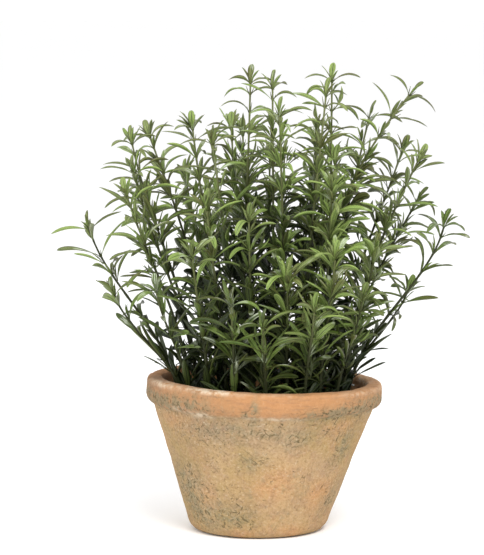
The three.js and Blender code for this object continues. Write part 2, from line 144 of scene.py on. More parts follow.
def rod_gap(a: Rod, b: Rod, c: Rod, d: Rod) -> float:
    """Distance between the surfaces of two tapered rods.

    Args:
        a: First end of the first rod.
        b: Second end of the first rod.
        c: First end of the second rod.
        d: Second end of the second rod.

    Returns:
        The gap in millimetres, below zero where they meet.
    """
    first, second, between = b.at.less(a.at), d.at.less(c.at), a.at.less(c.at)
    aa, ee, bb = first.dot(first), second.dot(second), first.dot(second)
    cc, ff = first.dot(between), second.dot(between)
    den = aa * ee - bb * bb
    s = held((bb * ff - cc * ee) / den) if den > PARALLEL else 0.0
    t = (bb * s + ff) / ee
    if t < 0:
        t, s = 0.0, held(-cc / aa)
    elif t > 1:
        t, s = 1.0, held((bb - cc) / aa)
    gap = a.at.plus(first, s).less(c.at.plus(second, t)).length()
    return gap - (a.radius + (b.radius - a.radius) * s) - (c.radius + (d.radius - c.radius) * t)


def chain_gap(one: list[Rod], other: list[Rod]) -> float:
    """Smallest gap between two chains of rods, each given by the ends of its rods in order."""
    pairs = product(zip(one, one[1:]), zip(other, other[1:]))
    return min(rod_gap(*first, *second) for first, second in pairs)


@dataclass
class Leaf:
    """One leaf's arc: it leaves the stem at lift and turns by bend on the way to its tip."""

    ROD_SHARES = (0.12, 0.34, 0.68, 1.0)
    ROOT_RADIUS, LOW_WIDTH, END_RADIUS = 0.45, 0.78, 0.3

    root: Place
    along: Place
    out: Place
    length: float
    width: float
    lift: float
    bend: float
    twist: float

    def at(self, s: float) -> Place:
        """The centre line at a share s of the leaf's length.

        Args:
            s: From 0 at its root to 1 at its tip.

        Returns:
            The place there.
        """
        angle = self.lift + self.bend * s
        up = (math.sin(angle) - math.sin(self.lift)) / self.bend
        off = (math.cos(self.lift) - math.cos(angle)) / self.bend
        return self.root.plus(self.along, up * self.length).plus(self.out, off * self.length)

    def rods(self) -> list[Rod]:
        """The leaf as a chain of rods, from its root to its tip."""
        radii = (self.ROOT_RADIUS, self.LOW_WIDTH * self.width / 2, self.width / 2, self.END_RADIUS)
        return [Rod(self.at(share), radius) for share, radius in zip(self.ROD_SHARES, radii)]


@dataclass
class Node:
    """A place on a stem that bears leaves, with the frame that they take."""

    rank: int
    place: Place
    along: Place
    side: Place
    half: float
    leaves: list[Leaf] = field(default_factory=list)
    taken: set[int] = field(default_factory=set)

    def across(self) -> Place:
        """The direction square to the stem and to its first side."""
        return self.along.cross(self.side)

    def facing(self, angle: float) -> Place:
        """The direction that looks out of the stem at an angle from its first side."""
        return mix(self.side, math.cos(angle), self.across(), math.sin(angle))


class Route(NamedTuple):
    """A sprig as laid out: root, end node, and how far the tip bends outwards."""

    root: Pair
    tip: Trio
    sweep: float


class LaidLeaf(NamedTuple):
    """A listed leaf, where the photograph shows one on the outline, in mm and degrees."""

    sprig: int
    z: float
    azimuth: float
    length: float
    width: float
    lift: float
    bend: float
    twist: float = 0.2


class Sprig:
    """One sprig's stem: its curve and its nodes, counted from the tip."""

    START_Z = 78.5
    ROOT_DEPTH = 12.0
    HALF_FOOT, HALF_TIP = 0.9, 0.55
    FOOT_LEAN, FOOT_RISE, TIP_BEND = 0.08, 0.38, 0.32
    STEPS = 120
    NODE_GAPS = (6.5, 10.5, 13.0, 15.0)
    LOWER_GAP = 17.0
    FIRST_NODE = 7.0
    TIP_LEAF, TIP_LEAF_HALF = 12.0, 1.3
    FRONT_Y, FRONT_BELOW = 2.0, 150.0
    FURTHER, BETWEEN_GAP, BETWEEN_BELOW, BETWEEN_TURN = -1, 12.0, 222.0, 0.8
    FOOT_POINTS, FOOT_TURN = (1, 4), 0.5
    SWOLLEN, END_RADIUS = 1.4, 0.3

    def __init__(self, route: Route, twist: float) -> None:
        """Lays the stem along its route, with its first side turned by twist.

        Args:
            route: Its root, its end node and how far it sweeps.
            twist: The turn of its first side about the stem, in radians.
        """
        (rx, ry), (tx, ty, tz), sweep = route
        rise, lean_x, lean_y = tz - self.START_Z, tx - rx, ty - ry
        self.foot = Place(rx, ry, self.START_Z)
        lean, bend = self.FOOT_LEAN, self.TIP_BEND
        low = Place(rx + lean_x * lean, ry + lean_y * lean, self.START_Z + rise * self.FOOT_RISE)
        high = Place(tx - lean_x * sweep * bend, ty - lean_y * sweep * bend, tz - rise * bend)
        self.control = (self.foot, low, high, Place(tx, ty, tz))
        self.points = [self.on_curve(i / self.STEPS) for i in range(self.STEPS + 1)]
        self.start = self.points[1].less(self.points[0]).unit()
        self.nodes = self.placed_nodes(twist)
        self.extra: list[Node] = []

    def on_curve(self, t: float) -> Place:
        """The stem's centre line at t, from 0 at the soil to 1 at the end node."""
        k, (p0, p1, p2, p3) = 1 - t, self.control
        return mix(p0, k * k * k, p1, 3 * k * k * t).plus(mix(p2, 3 * k * t * t, p3, t * t * t))

    def placed_nodes(self, twist: float) -> list[Node]:
        """The nodes from the soil to the tip, each with its frame carried up the stem.

        Args:
            twist: The turn of the first side about the stem, in radians.

        Returns:
            The nodes, the lowest first.
        """
        reach = [0.0]
        for before, after in zip(self.points, self.points[1:]):
            reach.append(reach[-1] + after.less(before).length())
        spots = [reach[-1]]
        following = spots[0] - self.NODE_GAPS[0]
        while following >= self.FIRST_NODE:
            spots.append(following)
            step = len(spots) - 1
            following -= self.NODE_GAPS[step] if step < len(self.NODE_GAPS) else self.LOWER_GAP
        nodes: list[Node] = []
        side = Place(math.cos(twist), math.sin(twist), 0.0)
        for rank in range(len(spots) - 1, -1, -1):
            i = 0
            while i < self.STEPS - 1 and reach[i + 1] < spots[rank]:
                i += 1
            share = (spots[rank] - reach[i]) / (reach[i + 1] - reach[i])
            before, after = self.points[max(0, i - 1)], self.points[min(self.STEPS, i + 2)]
            along = after.less(before).unit()
            side = side.plus(along, -along.dot(side)).unit()
            place = mix(self.points[i], 1 - share, self.points[i + 1], share)
            half = self.HALF_FOOT + (self.HALF_TIP - self.HALF_FOOT) * spots[rank] / spots[0]
            nodes.append(Node(rank, place, along, side, half))
        return nodes

    def between_nodes(self) -> list[Node]:
        """Bare nodes halfway between two that lie far apart.

        Returns:
            The further nodes.
        """
        made = []
        for low, high in zip(self.nodes, self.nodes[1:]):
            limit = self.BETWEEN_BELOW if high.place.y > self.FRONT_Y else self.FRONT_BELOW
            if low.place.less(high.place).length() > self.BETWEEN_GAP and high.place.z < limit:
                place = mix(low.place, 0.5, high.place, 0.5)
                nearest = min(self.points, key=lambda at: at.less(place).length())
                side = low.facing(self.BETWEEN_TURN)
                made.append(Node(self.FURTHER, nearest, low.along, side, low.half))
        return made

    def foot_nodes(self) -> list[Node]:
        """Nodes close to the soil, still bare, whose leaves hide the stem's foot."""
        sides = [(i, self.nodes[0].facing(self.FOOT_TURN * i)) for i in self.FOOT_POINTS]
        return [Node(self.FURTHER, self.points[i], self.start, side, self.HALF_FOOT) for i, side in sides]

    def laid_node(self, laid: LaidLeaf) -> Node:
        """A node at a height of the stem, with the one leaf that is laid there.

        Args:
            laid: The leaf as listed.

        Returns:
            The node with its leaf.
        """
        index = min(range(1, self.STEPS), key=lambda i: abs(self.points[i].z - laid.z))
        along = self.points[index + 1].less(self.points[index - 1]).unit()
        turn = math.radians(laid.azimuth)
        level = Place(math.cos(turn), math.sin(turn), 0.0)
        out = level.plus(along, -along.dot(level)).unit()
        node = Node(self.FURTHER, self.points[index], along, out, self.HALF_FOOT)
        root = node.place.plus(out, node.half)
        lift, bend = math.radians(laid.lift), math.radians(laid.bend)
        node.leaves.append(Leaf(root, along, out, laid.length, laid.width, lift, bend, laid.twist))
        return node

    def line(self) -> list[Rod]:
        """The bare centre line, for the distance from stem to stem."""
        below = self.foot.plus(self.start, -self.ROOT_DEPTH)
        return [Rod(at, 0.0) for at in (below, self.foot, *(node.place for node in self.nodes))]

    def on_tip_leaf(self, share: float) -> Place:
        """A place on the end leaf, by its share of the leaf's length."""
        return self.nodes[-1].place.plus(self.nodes[-1].along, self.TIP_LEAF * share)

    def rods(self) -> list[Rod]:
        """The stem and its end leaf as a chain of rods above the soil.

        Returns:
            The ends of its rods, from the soil to the tip.
        """
        nodes = [Rod(node.place, node.half * self.SWOLLEN) for node in self.nodes]
        middle = Rod(self.on_tip_leaf(0.5), self.TIP_LEAF_HALF)
        foot = Rod(self.foot, self.HALF_FOOT * self.SWOLLEN)
        return [foot, *nodes, middle, Rod(self.on_tip_leaf(1.0), self.END_RADIUS)]


@dataclass
class Standing:
    """A leaf that stands already, with what a quick test of its room needs."""

    REACH_SHARE, REACH_ROOM = 0.55, 3

    sprig: Sprig
    leaf: Leaf
    rods: list[Rod]
    middle: Place
    reach: float

    @classmethod
    def of(cls, sprig: Sprig, leaf: Leaf) -> "Standing":
        """The leaf of a sprig as it stands."""
        reach = leaf.length * cls.REACH_SHARE + cls.REACH_ROOM
        return cls(sprig, leaf, leaf.rods(), leaf.at(0.5), reach)


class RimRoom(NamedTuple):
    """How far from the pot's middle leaves may reach: further out, the higher they are."""

    radius: float
    z: float
    slope: float
    middle_x: float = -0.5

    def reach(self, z: float | np.ndarray) -> float | np.ndarray:
        """The furthest that a leaf may reach at a height."""
        return self.radius + np.maximum(0.0, z - self.z) * self.slope


class Crowd:
    SHARES = (0.35, 0.55, 0.75, 1.0)
    RIM = RimRoom(56.0, 99.0, 0.75)
    ROOM, MOST, FAR_OFF = 1.8, 60000, 1e6

    def __init__(self) -> None:
        """Starts with nothing standing."""
        self.places = np.full((self.MOST, 3), self.FAR_OFF)
        self.count = 0

    def join(self, places: list[Place]) -> None:
        """Adds points that stand from now on."""
        self.places[self.count : self.count + len(places)] = places
        self.count += len(places)

    def join_leaf(self, leaf: Leaf) -> None:
        """Adds a leaf that stands from now on."""
        self.join([leaf.at(share) for share in self.SHARES])

    def has_room(self, leaf: Leaf) -> bool:
        """Whether a leaf's blade keeps its room to all that stands, to the rim and to the soil.

        Args:
            leaf: The leaf to be placed.

        Returns:
            True if there is room.
        """
        blade = np.array([leaf.at(share) for share in self.SHARES])
        wide = np.hypot(blade[:, 0] - self.RIM.middle_x, blade[:, 1]) > self.RIM.reach(blade[:, 2])
        if (wide | (blade[:, 2] < Sprig.START_Z)).any():
            return False
        step = self.places[: self.count, None, :] - blade[None, :, :]
        return bool((np.einsum("ijk,ijk->ij", step, step) > self.ROOM**2).all())


class Bush:
    """All sprigs, with leaves placed from the tips downwards wherever they clear the others."""

    SEED = 11
    EXTRA_SEED = 4711
    FILL_SHARES = (0.0, 0.0, 0.0, 0.7, 0.85)
    EXTRA_TURNS = (0.0, 0.5, -0.5, 1.0, -1.0)
    EXTRA_LIFT, EXTRA_BEND = (16.0, 72.0), (10.0, 75.0)
    EXTRA_LENGTH, EXTRA_WIDTH = (0.72, 1.15), (0.75, 1.1)
    ARCHING_ABOVE, ARCHING_LIFT, ARCHING_BEND = 165.0, 0.25, (0.6, 1.25)
    FURTHEST_TURN = 2.0
    WANTED_AT_SIDE, WANTED_NEAR_TIP = 0.38, 0.6
    SIDE_HIGH_Z, SIDE_WANTED_HIGH, SIDE_WANTED_LOW = 125.0, 0.25, 0.1
    SIDE_SHORT, FOOT_SHORT = 0.8, 0.95
    BEHIND_Y, BEHIND_BELOW, BEHIND_WIDER = 6.0, 236.0, 1.4
    BEHIND_HIGH_Z, BEHIND_BARE_HIGH, BEHIND_BARE_LOW = 150.0, 0.35, 0.65
    ARM_X, ARM_BELOW = 80.0, 200.0
    LEFT_X, LEFT_BELOW = -40.0, 150.0
    RIGHT_X, RIGHT_BELOW, RIGHT_FRONT_X, RIGHT_FRONT_Y = 50.0, 146.0, 62.0, -25.0
    LAID = tuple(starmap(LaidLeaf, (
        (2, 90, -12, 22, 3.2, 40, 12), (2, 93, 18, 16, 2.4, 32, 12), (2, 105, -5, 15, 2.2, 40, 24),
        (25, 97, 178, 19, 2.2, 20, 14), (25, 80, 200, 27, 4.8, 4, 10, 0.6),
        (25, 104, 176, 26, 3.4, 2, 8, 0.5), (25, 103, 330, 30, 4.9, 4, 9, 0.7),
        (26, 82, 260, 25, 4.6, 6, 12, 0.3), (22, 81, 250, 24, 4.4, 5, 16),
        (27, 81, 262, 26, 4.6, 3, 14, 0.3), (14, 120, 215, 30, 4.8, 12, 20, 0.4),
        (20, 108, 240, 31, 4.9, 8, 18, 0.4), (29, 128, 255, 30, 4.8, 5, 12, 0.3),
        (13, 150, 262, 31, 4.6, 4, 14, 0.3), (19, 190, -12, 25, 4.8, 56, 52, 0.3),
        (19, 178, -50, 25, 4.8, 12, 16), (19, 176, 8, 27, 4.0, 30, 66, 0.3),
        (19, 163, -12, 28, 5.0, 10, 30), (19, 161, 12, 28, 4.4, 48, 30, 0.3),
        (19, 202, 20, 22, 3.8, 56, 50, 0.3), (19, 186, 75, 24, 4.2, 44, 66), (19, 168, 60, 25, 3.8, 74, 16),
        (5, 203, 205, 23, 4.2, 66, 50), (5, 158, 185, 22, 4.2, 50, 50), (31, 205, -60, 23, 4.2, 60, 50),
        (31, 188, -75, 23, 4.2, 60, 50), (11, 205, -20, 25, 4.4, 60, 50), (11, 192, -10, 26, 4.6, 56, 50),
        (11, 178, -15, 26, 4.6, 56, 44), (18, 162, 236, 24, 4.6, 24, 40), (18, 155, 150, 25, 4.6, 30, 60),
        (5, 186, 200, 24, 4.4, 70, 30), (5, 172, 190, 24, 4.4, 60, 46), (8, 240, 15, 22, 3.2, 36, 60, 0.3),
        (8, 231, 195, 22, 3.4, 50, 44, -0.3), (10, 233, -70, 19, 3.2, 24, 40, 0.4),
        (10, 226, 160, 21, 3.4, 44, 62), (8, 236, 260, 18, 3.2, 16, 40, 0.5),
        (19, 160, 215, 26, 4.6, 40, 50, 0.3), (19, 170, 240, 24, 4.6, 26, 56, -0.3),
        (19, 151, 198, 26, 4.4, 52, 46), (10, 166, -48, 26, 4.6, 42, 50, 0.3),
        (10, 177, -75, 24, 4.4, 34, 60, -0.2), (10, 155, -100, 25, 4.4, 30, 40, 0.4),
        (17, 147, 205, 23, 5.4, 8, 16, 0.3), (17, 145, -58, 26, 5.8, 4, 14, 0.5),
        (17, 149, 170, 22, 4.6, 44, 56, 0.3), (17, 151, 4, 26, 5.2, 26, 46, 0.3),
        (16, 166, 192, 24, 3.8, 48, 56, 0.3), (16, 150, 176, 23, 3.8, 50, 30),
        (1, 158, 185, 19, 3.6, 26, 30, 0.3), (1, 147, 15, 21, 3.4, 36, 44),
    )))
    PLANT_RISE = 190.0
    SPARSE_BELOW = 4
    LEAF_LENGTH, LEAF_WIDTH = (25.0, 22.5, 3.5), (3.9, 2.6, 0.5)
    LEAF_LIFT, LEAF_BEND = (34.0, 46.0, 14.0), (50.0, 72.0, 36.0)
    LEAF_TWIST, LEAF_TURN = 0.9, 0.3
    END_PAIRS = ((0.88, 46.0, 74.0), (0.5, 20.0, 38.0))
    LOW_BELOW, LOW_LEAVES = 0.12, {"length": 1.1, "lift": 0.75, "bend": 0.7}
    SHRINKS, PITCHES = (1.0, 0.84, 0.68), (0.0, -0.22, 0.22, -0.4)
    TURNS, LEAST_LIFT = (0.0, 0.28, -0.28, 0.5, -0.5), 0.2
    OWN_GAP, LEAF_GAP, STEM_REACH = 0.15, 0.62, 2
    RIM = RimRoom(55.0, 98.0, 1.1)
    SOIL_CLEAR_Z = 80.5
    SEEN = tuple(starmap(Route, (
        ((-52, 2), (-104, 0, 178), 0.5), ((49, 2), (105, -5, 180), 0.4), ((46, 14), (90, 16, 193), 1.5),
        ((24, 12), (85, 12, 257), 2.4), ((46, -6), (89, -11, 219), 1.6), ((38, 2), (39, 2, 265), 1),
        ((21, -14), (35, -13, 257), 1.3), ((5, 3), (4, 0, 261), 1), ((-14, 8), (-9, 11, 264), 1),
        ((12, -12), (8, -21, 246), 1), ((26, 24), (31, 27, 234), 1), ((-27, 0), (-43, -1, 237), 1.2),
        ((-16, -10), (-31, -14, 229), 1.2), ((-40, 8), (-79, 8, 228), 0.8),
        ((-31, 16), (-69, 27, 231), 1.5), ((-44, -10), (-81, -19, 199), 1),
        ((12, -38), (12, -52, 155), 0.6), ((45, -18), (63, -38, 168), 0.6),
        ((33, -22), (38, -36, 204), 0.8), ((-23, -24), (-34, -47, 193), 0.8),
        ((31, -35), (39, -62, 166), 0.6), ((-33, -34), (-42, -66, 167), 0.6),
        ((22, -44), (27, -71, 137), 0.6), ((41, -29), (55, -52, 141), 0.6),
        ((-48, -20), (-88, -30, 142), 0.5), ((-44, -28), (-63, -52, 146), 0.6),
        ((-18, -44), (-20, -69, 140), 0.6), ((0, -48), (-2, -72, 128), 0.5),
        ((-8, -27), (-10, -46, 186), 0.8), ((48, 9), (84, 4, 140), 0.6), ((34, 14), (62, 25, 243), 1.4),
        ((41, 21), (82, 32, 222), 1.2),
    )))
    BACK_COUNT = 11
    BACK_FIRST_ANGLE, BACK_ARC = math.radians(-12), math.radians(204)
    GOLDEN = 0.6180339887
    BACK_REACH = (30.0, 84.0)
    BACK_ROOT_SHARE, BACK_ROOT_LIMIT, BACK_SWEEP = 0.52, 49.0, 0.8
    BACK_TRIES, TRY_TURN, TRY_SHRINK, BACK_ROOM = 12, 0.09, 0.05, 7.0
    TRY_SHRINKS = 4
    DOME_RADIUS, DOME_RISE = 122.0, 176.0
    DOME_LEAST, DOME_MORE, DOME_STRIDE, DOME_LEVELS = 0.84, 0.16, 5, 7

    def __init__(self) -> None:
        """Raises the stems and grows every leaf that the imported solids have."""
        self.dice = Dice(self.SEED)
        self.sprigs = [Sprig(route, self.twist()) for route in self.SEEN]
        for index in range(self.BACK_COUNT):
            self.sprigs.append(self.back_sprig(index))
        self.stems = [(sprig, sprig.rods()) for sprig in self.sprigs]
        self.standing: list[Standing] = []
        self.extra = 0
        self.grow()

    def twist(self) -> float:
        """A drawn quarter turn at most, in radians."""
        return self.dice.throw() * math.pi / 2

    def back_sprig(self, index: int) -> Sprig:
        """A sprig of the back half, at the first place tried that has room, or the roomiest.

        Args:
            index: Its number among the back sprigs.

        Returns:
            The sprig.
        """
        share = (index + 0.5) / self.BACK_COUNT
        best: tuple[float, Sprig] | None = None
        for attempt in range(self.BACK_TRIES):
            turn = (index * self.GOLDEN + attempt * self.TRY_TURN) % 1
            angle = self.BACK_FIRST_ANGLE + self.BACK_ARC * turn
            low, high = self.BACK_REACH
            shrink = 1 - self.TRY_SHRINK * (attempt % self.TRY_SHRINKS)
            reach = (low + (high - low) * math.sqrt(share)) * shrink
            dome = self.DOME_RISE * math.sqrt(1 - (reach / self.DOME_RADIUS) ** 2)
            level = index * self.DOME_STRIDE % self.DOME_LEVELS
            rise = self.DOME_LEAST + self.DOME_MORE * level / (self.DOME_LEVELS - 1)
            tip_z = Sprig.START_Z + dome * rise
            root = min(self.BACK_ROOT_LIMIT, reach * self.BACK_ROOT_SHARE)
            cos, sin = math.cos(angle), math.sin(angle)
            tip = (reach * cos, reach * sin, tip_z)
            sprig = Sprig(Route((root * cos, root * sin), tip, self.BACK_SWEEP), self.twist())
            room = min(chain_gap(sprig.line(), other.line()) for other in self.sprigs)
            if best is None or room > best[0]:
                best = (room, sprig)
            if room > self.BACK_ROOM:
                break
        return best[1]

    def by_rank(self) -> list[tuple[Sprig, Node]]:
        """Every node with its sprig, the end nodes first."""
        nodes = [(sprig, node) for sprig in self.sprigs for node in sprig.nodes]
        return sorted(nodes, key=lambda pair: pair[1].rank)

    def is_sparse(self, node: Node) -> bool:
        """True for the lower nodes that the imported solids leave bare."""
        return node.rank >= self.SPARSE_BELOW and node.rank % 2 == 0

    def grow(self) -> None:
        """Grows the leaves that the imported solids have."""
        for sprig, node in self.by_rank():
            if self.is_sparse(node):
                continue
            square = node.rank % 2
            for side in (0, 2, 1, 3) if node.rank == 0 else (square, square + 2):
                self.grow_leaf(sprig, node, side)

    def fill_out(self) -> None:
        """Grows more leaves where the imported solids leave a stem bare, and between its nodes."""
        self.dice = Dice(self.EXTRA_SEED)
        self.crowd = Crowd()
        for sprig in self.sprigs:
            self.crowd.join(sprig.points[::2])
        for stand in self.standing:
            self.crowd.join_leaf(stand.leaf)
        for _, node in self.by_rank():
            self.fill_node(node)
        for laid in self.LAID:
            sprig = self.sprigs[laid.sprig - 1]
            sprig.extra.append(sprig.laid_node(laid))
            self.crowd.join_leaf(sprig.extra[-1].leaves[0])
        for sprig in self.sprigs:
            for node in sprig.between_nodes():
                self.fill_between(node)
                sprig.extra.append(node)
            for node in sprig.foot_nodes():
                for side in (0, 2) if self.at_low_side(node) else range(4):
                    self.fill_side(node, side, self.FOOT_SHORT)
                sprig.extra.append(node)

    def fill_node(self, node: Node) -> None:
        """Grows leaves on the sides of a node that are still bare.

        Args:
            node: The node.
        """
        share = 1.0 if self.is_sparse(node) else self.FILL_SHARES[min(node.rank, self.SPARSE_BELOW)]
        wanted = self.WANTED_NEAR_TIP if node.rank < self.SPARSE_BELOW else 1.0
        if self.at_low_side(node):
            wanted = self.WANTED_AT_SIDE
        for side in sorted({0, 1, 2, 3} - node.taken):
            if share and self.dice.throw() < wanted:
                self.fill_side(node, side, share)

    def fill_between(self, node: Node) -> None:
        """Grows leaves on a stem between two nodes, only a few low down at the sides.

        Args:
            node: The further node.
        """
        if not self.at_low_side(node):
            for side in range(4):
                self.fill_side(node, side, 1.0)
            return
        high = node.place.z > self.SIDE_HIGH_Z
        for side in (0, 2):
            if self.dice.throw() < (self.SIDE_WANTED_HIGH if high else self.SIDE_WANTED_LOW):
                self.fill_side(node, side, self.SIDE_SHORT)

    @classmethod
    def at_low_side(cls, node: Node) -> bool:
        """Whether a node is low down at the left or right, where light shows between the stems.

        Args:
            node: The node.

        Returns:
            True if it is.
        """
        at = node.place
        if at.z < cls.ARM_BELOW and abs(at.x) > cls.ARM_X:
            return True
        if at.x < 0:
            return at.x < cls.LEFT_X and at.z < cls.LEFT_BELOW
        limit = cls.RIGHT_FRONT_X if at.y < cls.RIGHT_FRONT_Y else cls.RIGHT_X
        return at.z < cls.RIGHT_BELOW and at.x > limit

    def fill_side(self, node: Node, side: int, share: float) -> None:
        """Grows one further leaf on a side of a node if there is room for it.

        Args:
            node: The node that bears it.
            side: Its side, in quarter turns.
            share: Its length as a share of a main leaf's.
        """
        size, drawn_turn = self.drawn_leaf(node, side)
        square = side * math.pi / 2
        root = node.place.plus(node.facing(square), node.half)
        length = size["length"] * share * self.dice.between(*self.EXTRA_LENGTH)
        width = size["width"] * self.dice.between(*self.EXTRA_WIDTH)
        lift = math.radians(self.dice.between(*self.EXTRA_LIFT))
        bend = math.radians(self.dice.between(*self.EXTRA_BEND))
        if node.place.z > self.ARCHING_ABOVE:
            lift = max(self.LEAST_LIFT, size["lift"] + self.dice.spread(self.ARCHING_LIFT))
            bend = size["bend"] * self.dice.between(*self.ARCHING_BEND)
        if self.BEHIND_Y < node.place.y and node.place.z < self.BEHIND_BELOW:
            high = node.place.z > self.BEHIND_HIGH_Z
            if self.dice.throw() < (self.BEHIND_BARE_HIGH if high else self.BEHIND_BARE_LOW):
                return
            width *= self.BEHIND_WIDER
        bend = min(bend, self.FURTHEST_TURN - lift)
        for shrink, turn in product(self.SHRINKS, self.EXTRA_TURNS):
            out = node.facing(square + drawn_turn + turn)
            wide = width * (1 + shrink) / 2
            leaf = Leaf(root, node.along, out, length * shrink, wide, lift, bend, size["twist"])
            if self.crowd.has_room(leaf):
                node.leaves.append(leaf)
                node.taken.add(side)
                self.crowd.join_leaf(leaf)
                self.extra += 1
                return

    def draw(self, sizes: Trio, height: float) -> float:
        """A value for a height from 0 to 1, given as its low and high figures and its spread."""
        low, high, spread = sizes
        return low + (high - low) * height + self.dice.spread(spread)

    def drawn_leaf(self, node: Node, side: int) -> tuple[dict[str, float], float]:
        """Draws a leaf's sizes.

        Args:
            node: The node that bears it.
            side: Its side, in quarter turns.

        Returns:
            The sizes by name, and the turn off its side in radians.
        """
        height = (node.place.z - Sprig.START_Z) / self.PLANT_RISE
        size = {
            "length": self.draw(self.LEAF_LENGTH, height),
            "width": self.draw(self.LEAF_WIDTH, height),
            "lift": math.radians(self.draw(self.LEAF_LIFT, height)),
            "bend": math.radians(self.draw(self.LEAF_BEND, height)),
            "twist": self.dice.spread(self.LEAF_TWIST),
        }
        turn = self.dice.spread(self.LEAF_TURN)
        if node.rank == 0:
            length, lift, bend = self.END_PAIRS[side % 2]
            size["length"] *= length
            size["lift"] = math.radians(lift)
            size["bend"] = math.radians(bend)
        if height < self.LOW_BELOW:
            for name, share in self.LOW_LEAVES.items():
                size[name] *= share
        return size, turn

    def grow_leaf(self, sprig: Sprig, node: Node, side: int) -> None:
        """Grows one leaf, shortened, pitched or turned until it clears all that stands.

        Args:
            sprig: The sprig.
            node: The node that bears the leaf.
            side: Its side, in quarter turns.
        """
        size, drawn_turn = self.drawn_leaf(node, side)
        square = side * math.pi / 2
        root = node.place.plus(node.facing(square), node.half)
        for shrink, pitch, turn in product(self.SHRINKS, self.PITCHES, self.TURNS):
            out = node.facing(square + drawn_turn + turn)
            length, width = size["length"] * shrink, size["width"] * (1 + shrink) / 2
            lift = max(self.LEAST_LIFT, size["lift"] + pitch)
            leaf = Leaf(root, node.along, out, length, width, lift, size["bend"], size["twist"])
            stand = Standing.of(sprig, leaf)
            if self.clears(stand):
                node.leaves.append(leaf)
                node.taken.add(side)
                self.standing.append(stand)
                return

    def clears(self, stand: Standing) -> bool:
        """True if a leaf keeps its room to the rim, the soil, the leaves and the other stems.

        Args:
            stand: The leaf to be placed.

        Returns:
            True if there is room.
        """
        for at, _ in stand.rods[1:]:
            far = math.hypot(at.x - self.RIM.middle_x, at.y)
            if far > self.RIM.reach(at.z) or at.z < self.SOIL_CLEAR_Z:
                return False
        for other in self.standing:
            if stand.middle.less(other.middle).length() > stand.reach + other.reach:
                continue
            room = self.OWN_GAP if other.sprig is stand.sprig else self.LEAF_GAP
            if chain_gap(stand.rods, other.rods) < room:
                return False
        for sprig, rods in self.stems:
            if sprig is stand.sprig:
                continue
            for low, high in zip(rods, rods[1:]):
                middle = mix(low.at, 0.5, high.at, 0.5)
                reach = stand.reach + (low.at.less(high.at).length() / 2 + self.STEM_REACH)
                near = stand.middle.less(middle).length() <= reach
                if near and chain_gap(stand.rods, [low, high]) < self.LEAF_GAP:
                    return False
        return True


@dataclass
class Draft:
    """Collects the points and faces of one mesh in millimetres; its points carry named numbers."""

    names: tuple[str, ...]
    points: list[np.ndarray] = field(default_factory=list)
    faces: list[list[int]] = field(default_factory=list)
    values: list[np.ndarray] = field(default_factory=list)
    count: int = 0

    def add(self, points: np.ndarray, faces: list[list[int]], values: dict) -> None:
        """Adds a closed shell.

        Args:
            points: Its points, one row each, in the layout frame.
            faces: Its faces, as rows of these points.
            values: A number, or one number a point, for each named attribute.
        """
        start = self.count
        self.points.append(points)
        self.faces.extend([[start + index for index in face] for face in faces])
        columns = [np.broadcast_to(values.get(name, 0.0), len(points)) for name in self.names]
        self.values.append(np.stack(columns, axis=1))
        self.count += len(points)

    def triangles(self) -> int:
        """How many triangles the mesh comes to."""
        return sum(len(face) - 2 for face in self.faces)

    def piece(self, name: str, slot: str, material: Material) -> bpy.types.Object:
        """Puts the finished mesh into the scene in the part's own frame, riding with the part.

        Args:
            name: The piece's name.
            slot: The record's material slot; not used.
            material: What it is made of.

        Returns:
            The new object.
        """
        mesh = bpy.data.meshes.new(name)
        places = (np.concatenate(self.points) - [*SPREAD_MIDDLE, 0]) * MM
        mesh.from_pydata(places.tolist(), [], self.faces)
        for attribute, values in zip(self.names, np.concatenate(self.values).T):
            layer = mesh.attributes.new(attribute, "FLOAT", "POINT")
            layer.data.foreach_set("value", np.ascontiguousarray(values, np.float32))
        mesh.shade_smooth()
        mesh.materials.append(material)
        made = bpy.data.objects.new(name, mesh)
        bpy.context.scene.collection.objects.link(made)
        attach(made, BODY)
        return made


def tube_faces(rings: int, around: int) -> list[list[int]]:
    """Faces of a tube of rings, closed by a fan to a first and a last point.

    Args:
        rings: How many rings there are, between a first end point and a last one.
        around: How many points a ring has, counter-clockwise seen from the last end.

    Returns:
        The faces, all looking outwards.
    """
    faces = []
    for i in range(around):
        following = (i + 1) % around
        faces.append([0, 1 + following, 1 + i])
        for ring in range(rings - 1):
            low, high = 1 + ring * around, 1 + (ring + 1) * around
            faces.append([low + i, low + following, high + following, high + i])
        top = 1 + (rings - 1) * around
        faces.append([top + i, top + following, 1 + rings * around])
    return faces


@dataclass(frozen=True)
class BladeForm:
    """How finely a leaf is made, and the shape of its section across."""

    stations: int
    upper: tuple[float, ...]
    lower: tuple[float, ...]
    channel: float = 0.17
    groove: float = 0.13
    groove_width: float = 0.14
    middle_depth: float = 0.62
    edge_depth: float = 0.26
    slim_below: float = 3.0
    slimmest: float = 0.35

    def section(self, width: np.ndarray, ease: np.ndarray) -> tuple[np.ndarray, ...]:
        """The closed section at each station.

        Args:
            width: Full width at each station.
            ease: 0 to 1 at each station, how far the blade has opened from its stalk.

        Returns:
            Across and height for every station and point, and the across shares.
        """
        share = np.array([*self.upper, *self.lower])
        above = np.array([1.0] * len(self.upper) + [0.0] * len(self.lower))
        across = share[None, :] * width[:, None] / 2
        cup = self.channel * width[:, None] * share[None, :] ** 2 * ease[:, None]
        groove = np.exp(-((share[None, :] / self.groove_width) ** 2))
        groove = self.groove * groove * above * ease[:, None]
        slim = np.clip(width[:, None] / self.slim_below, self.slimmest, 1.0)
        depth = self.edge_depth + (self.middle_depth - self.edge_depth) * (1 - share[None, :] ** 2)
        sink = depth * slim * (1 - above)
        return across, cup - groove - sink, share


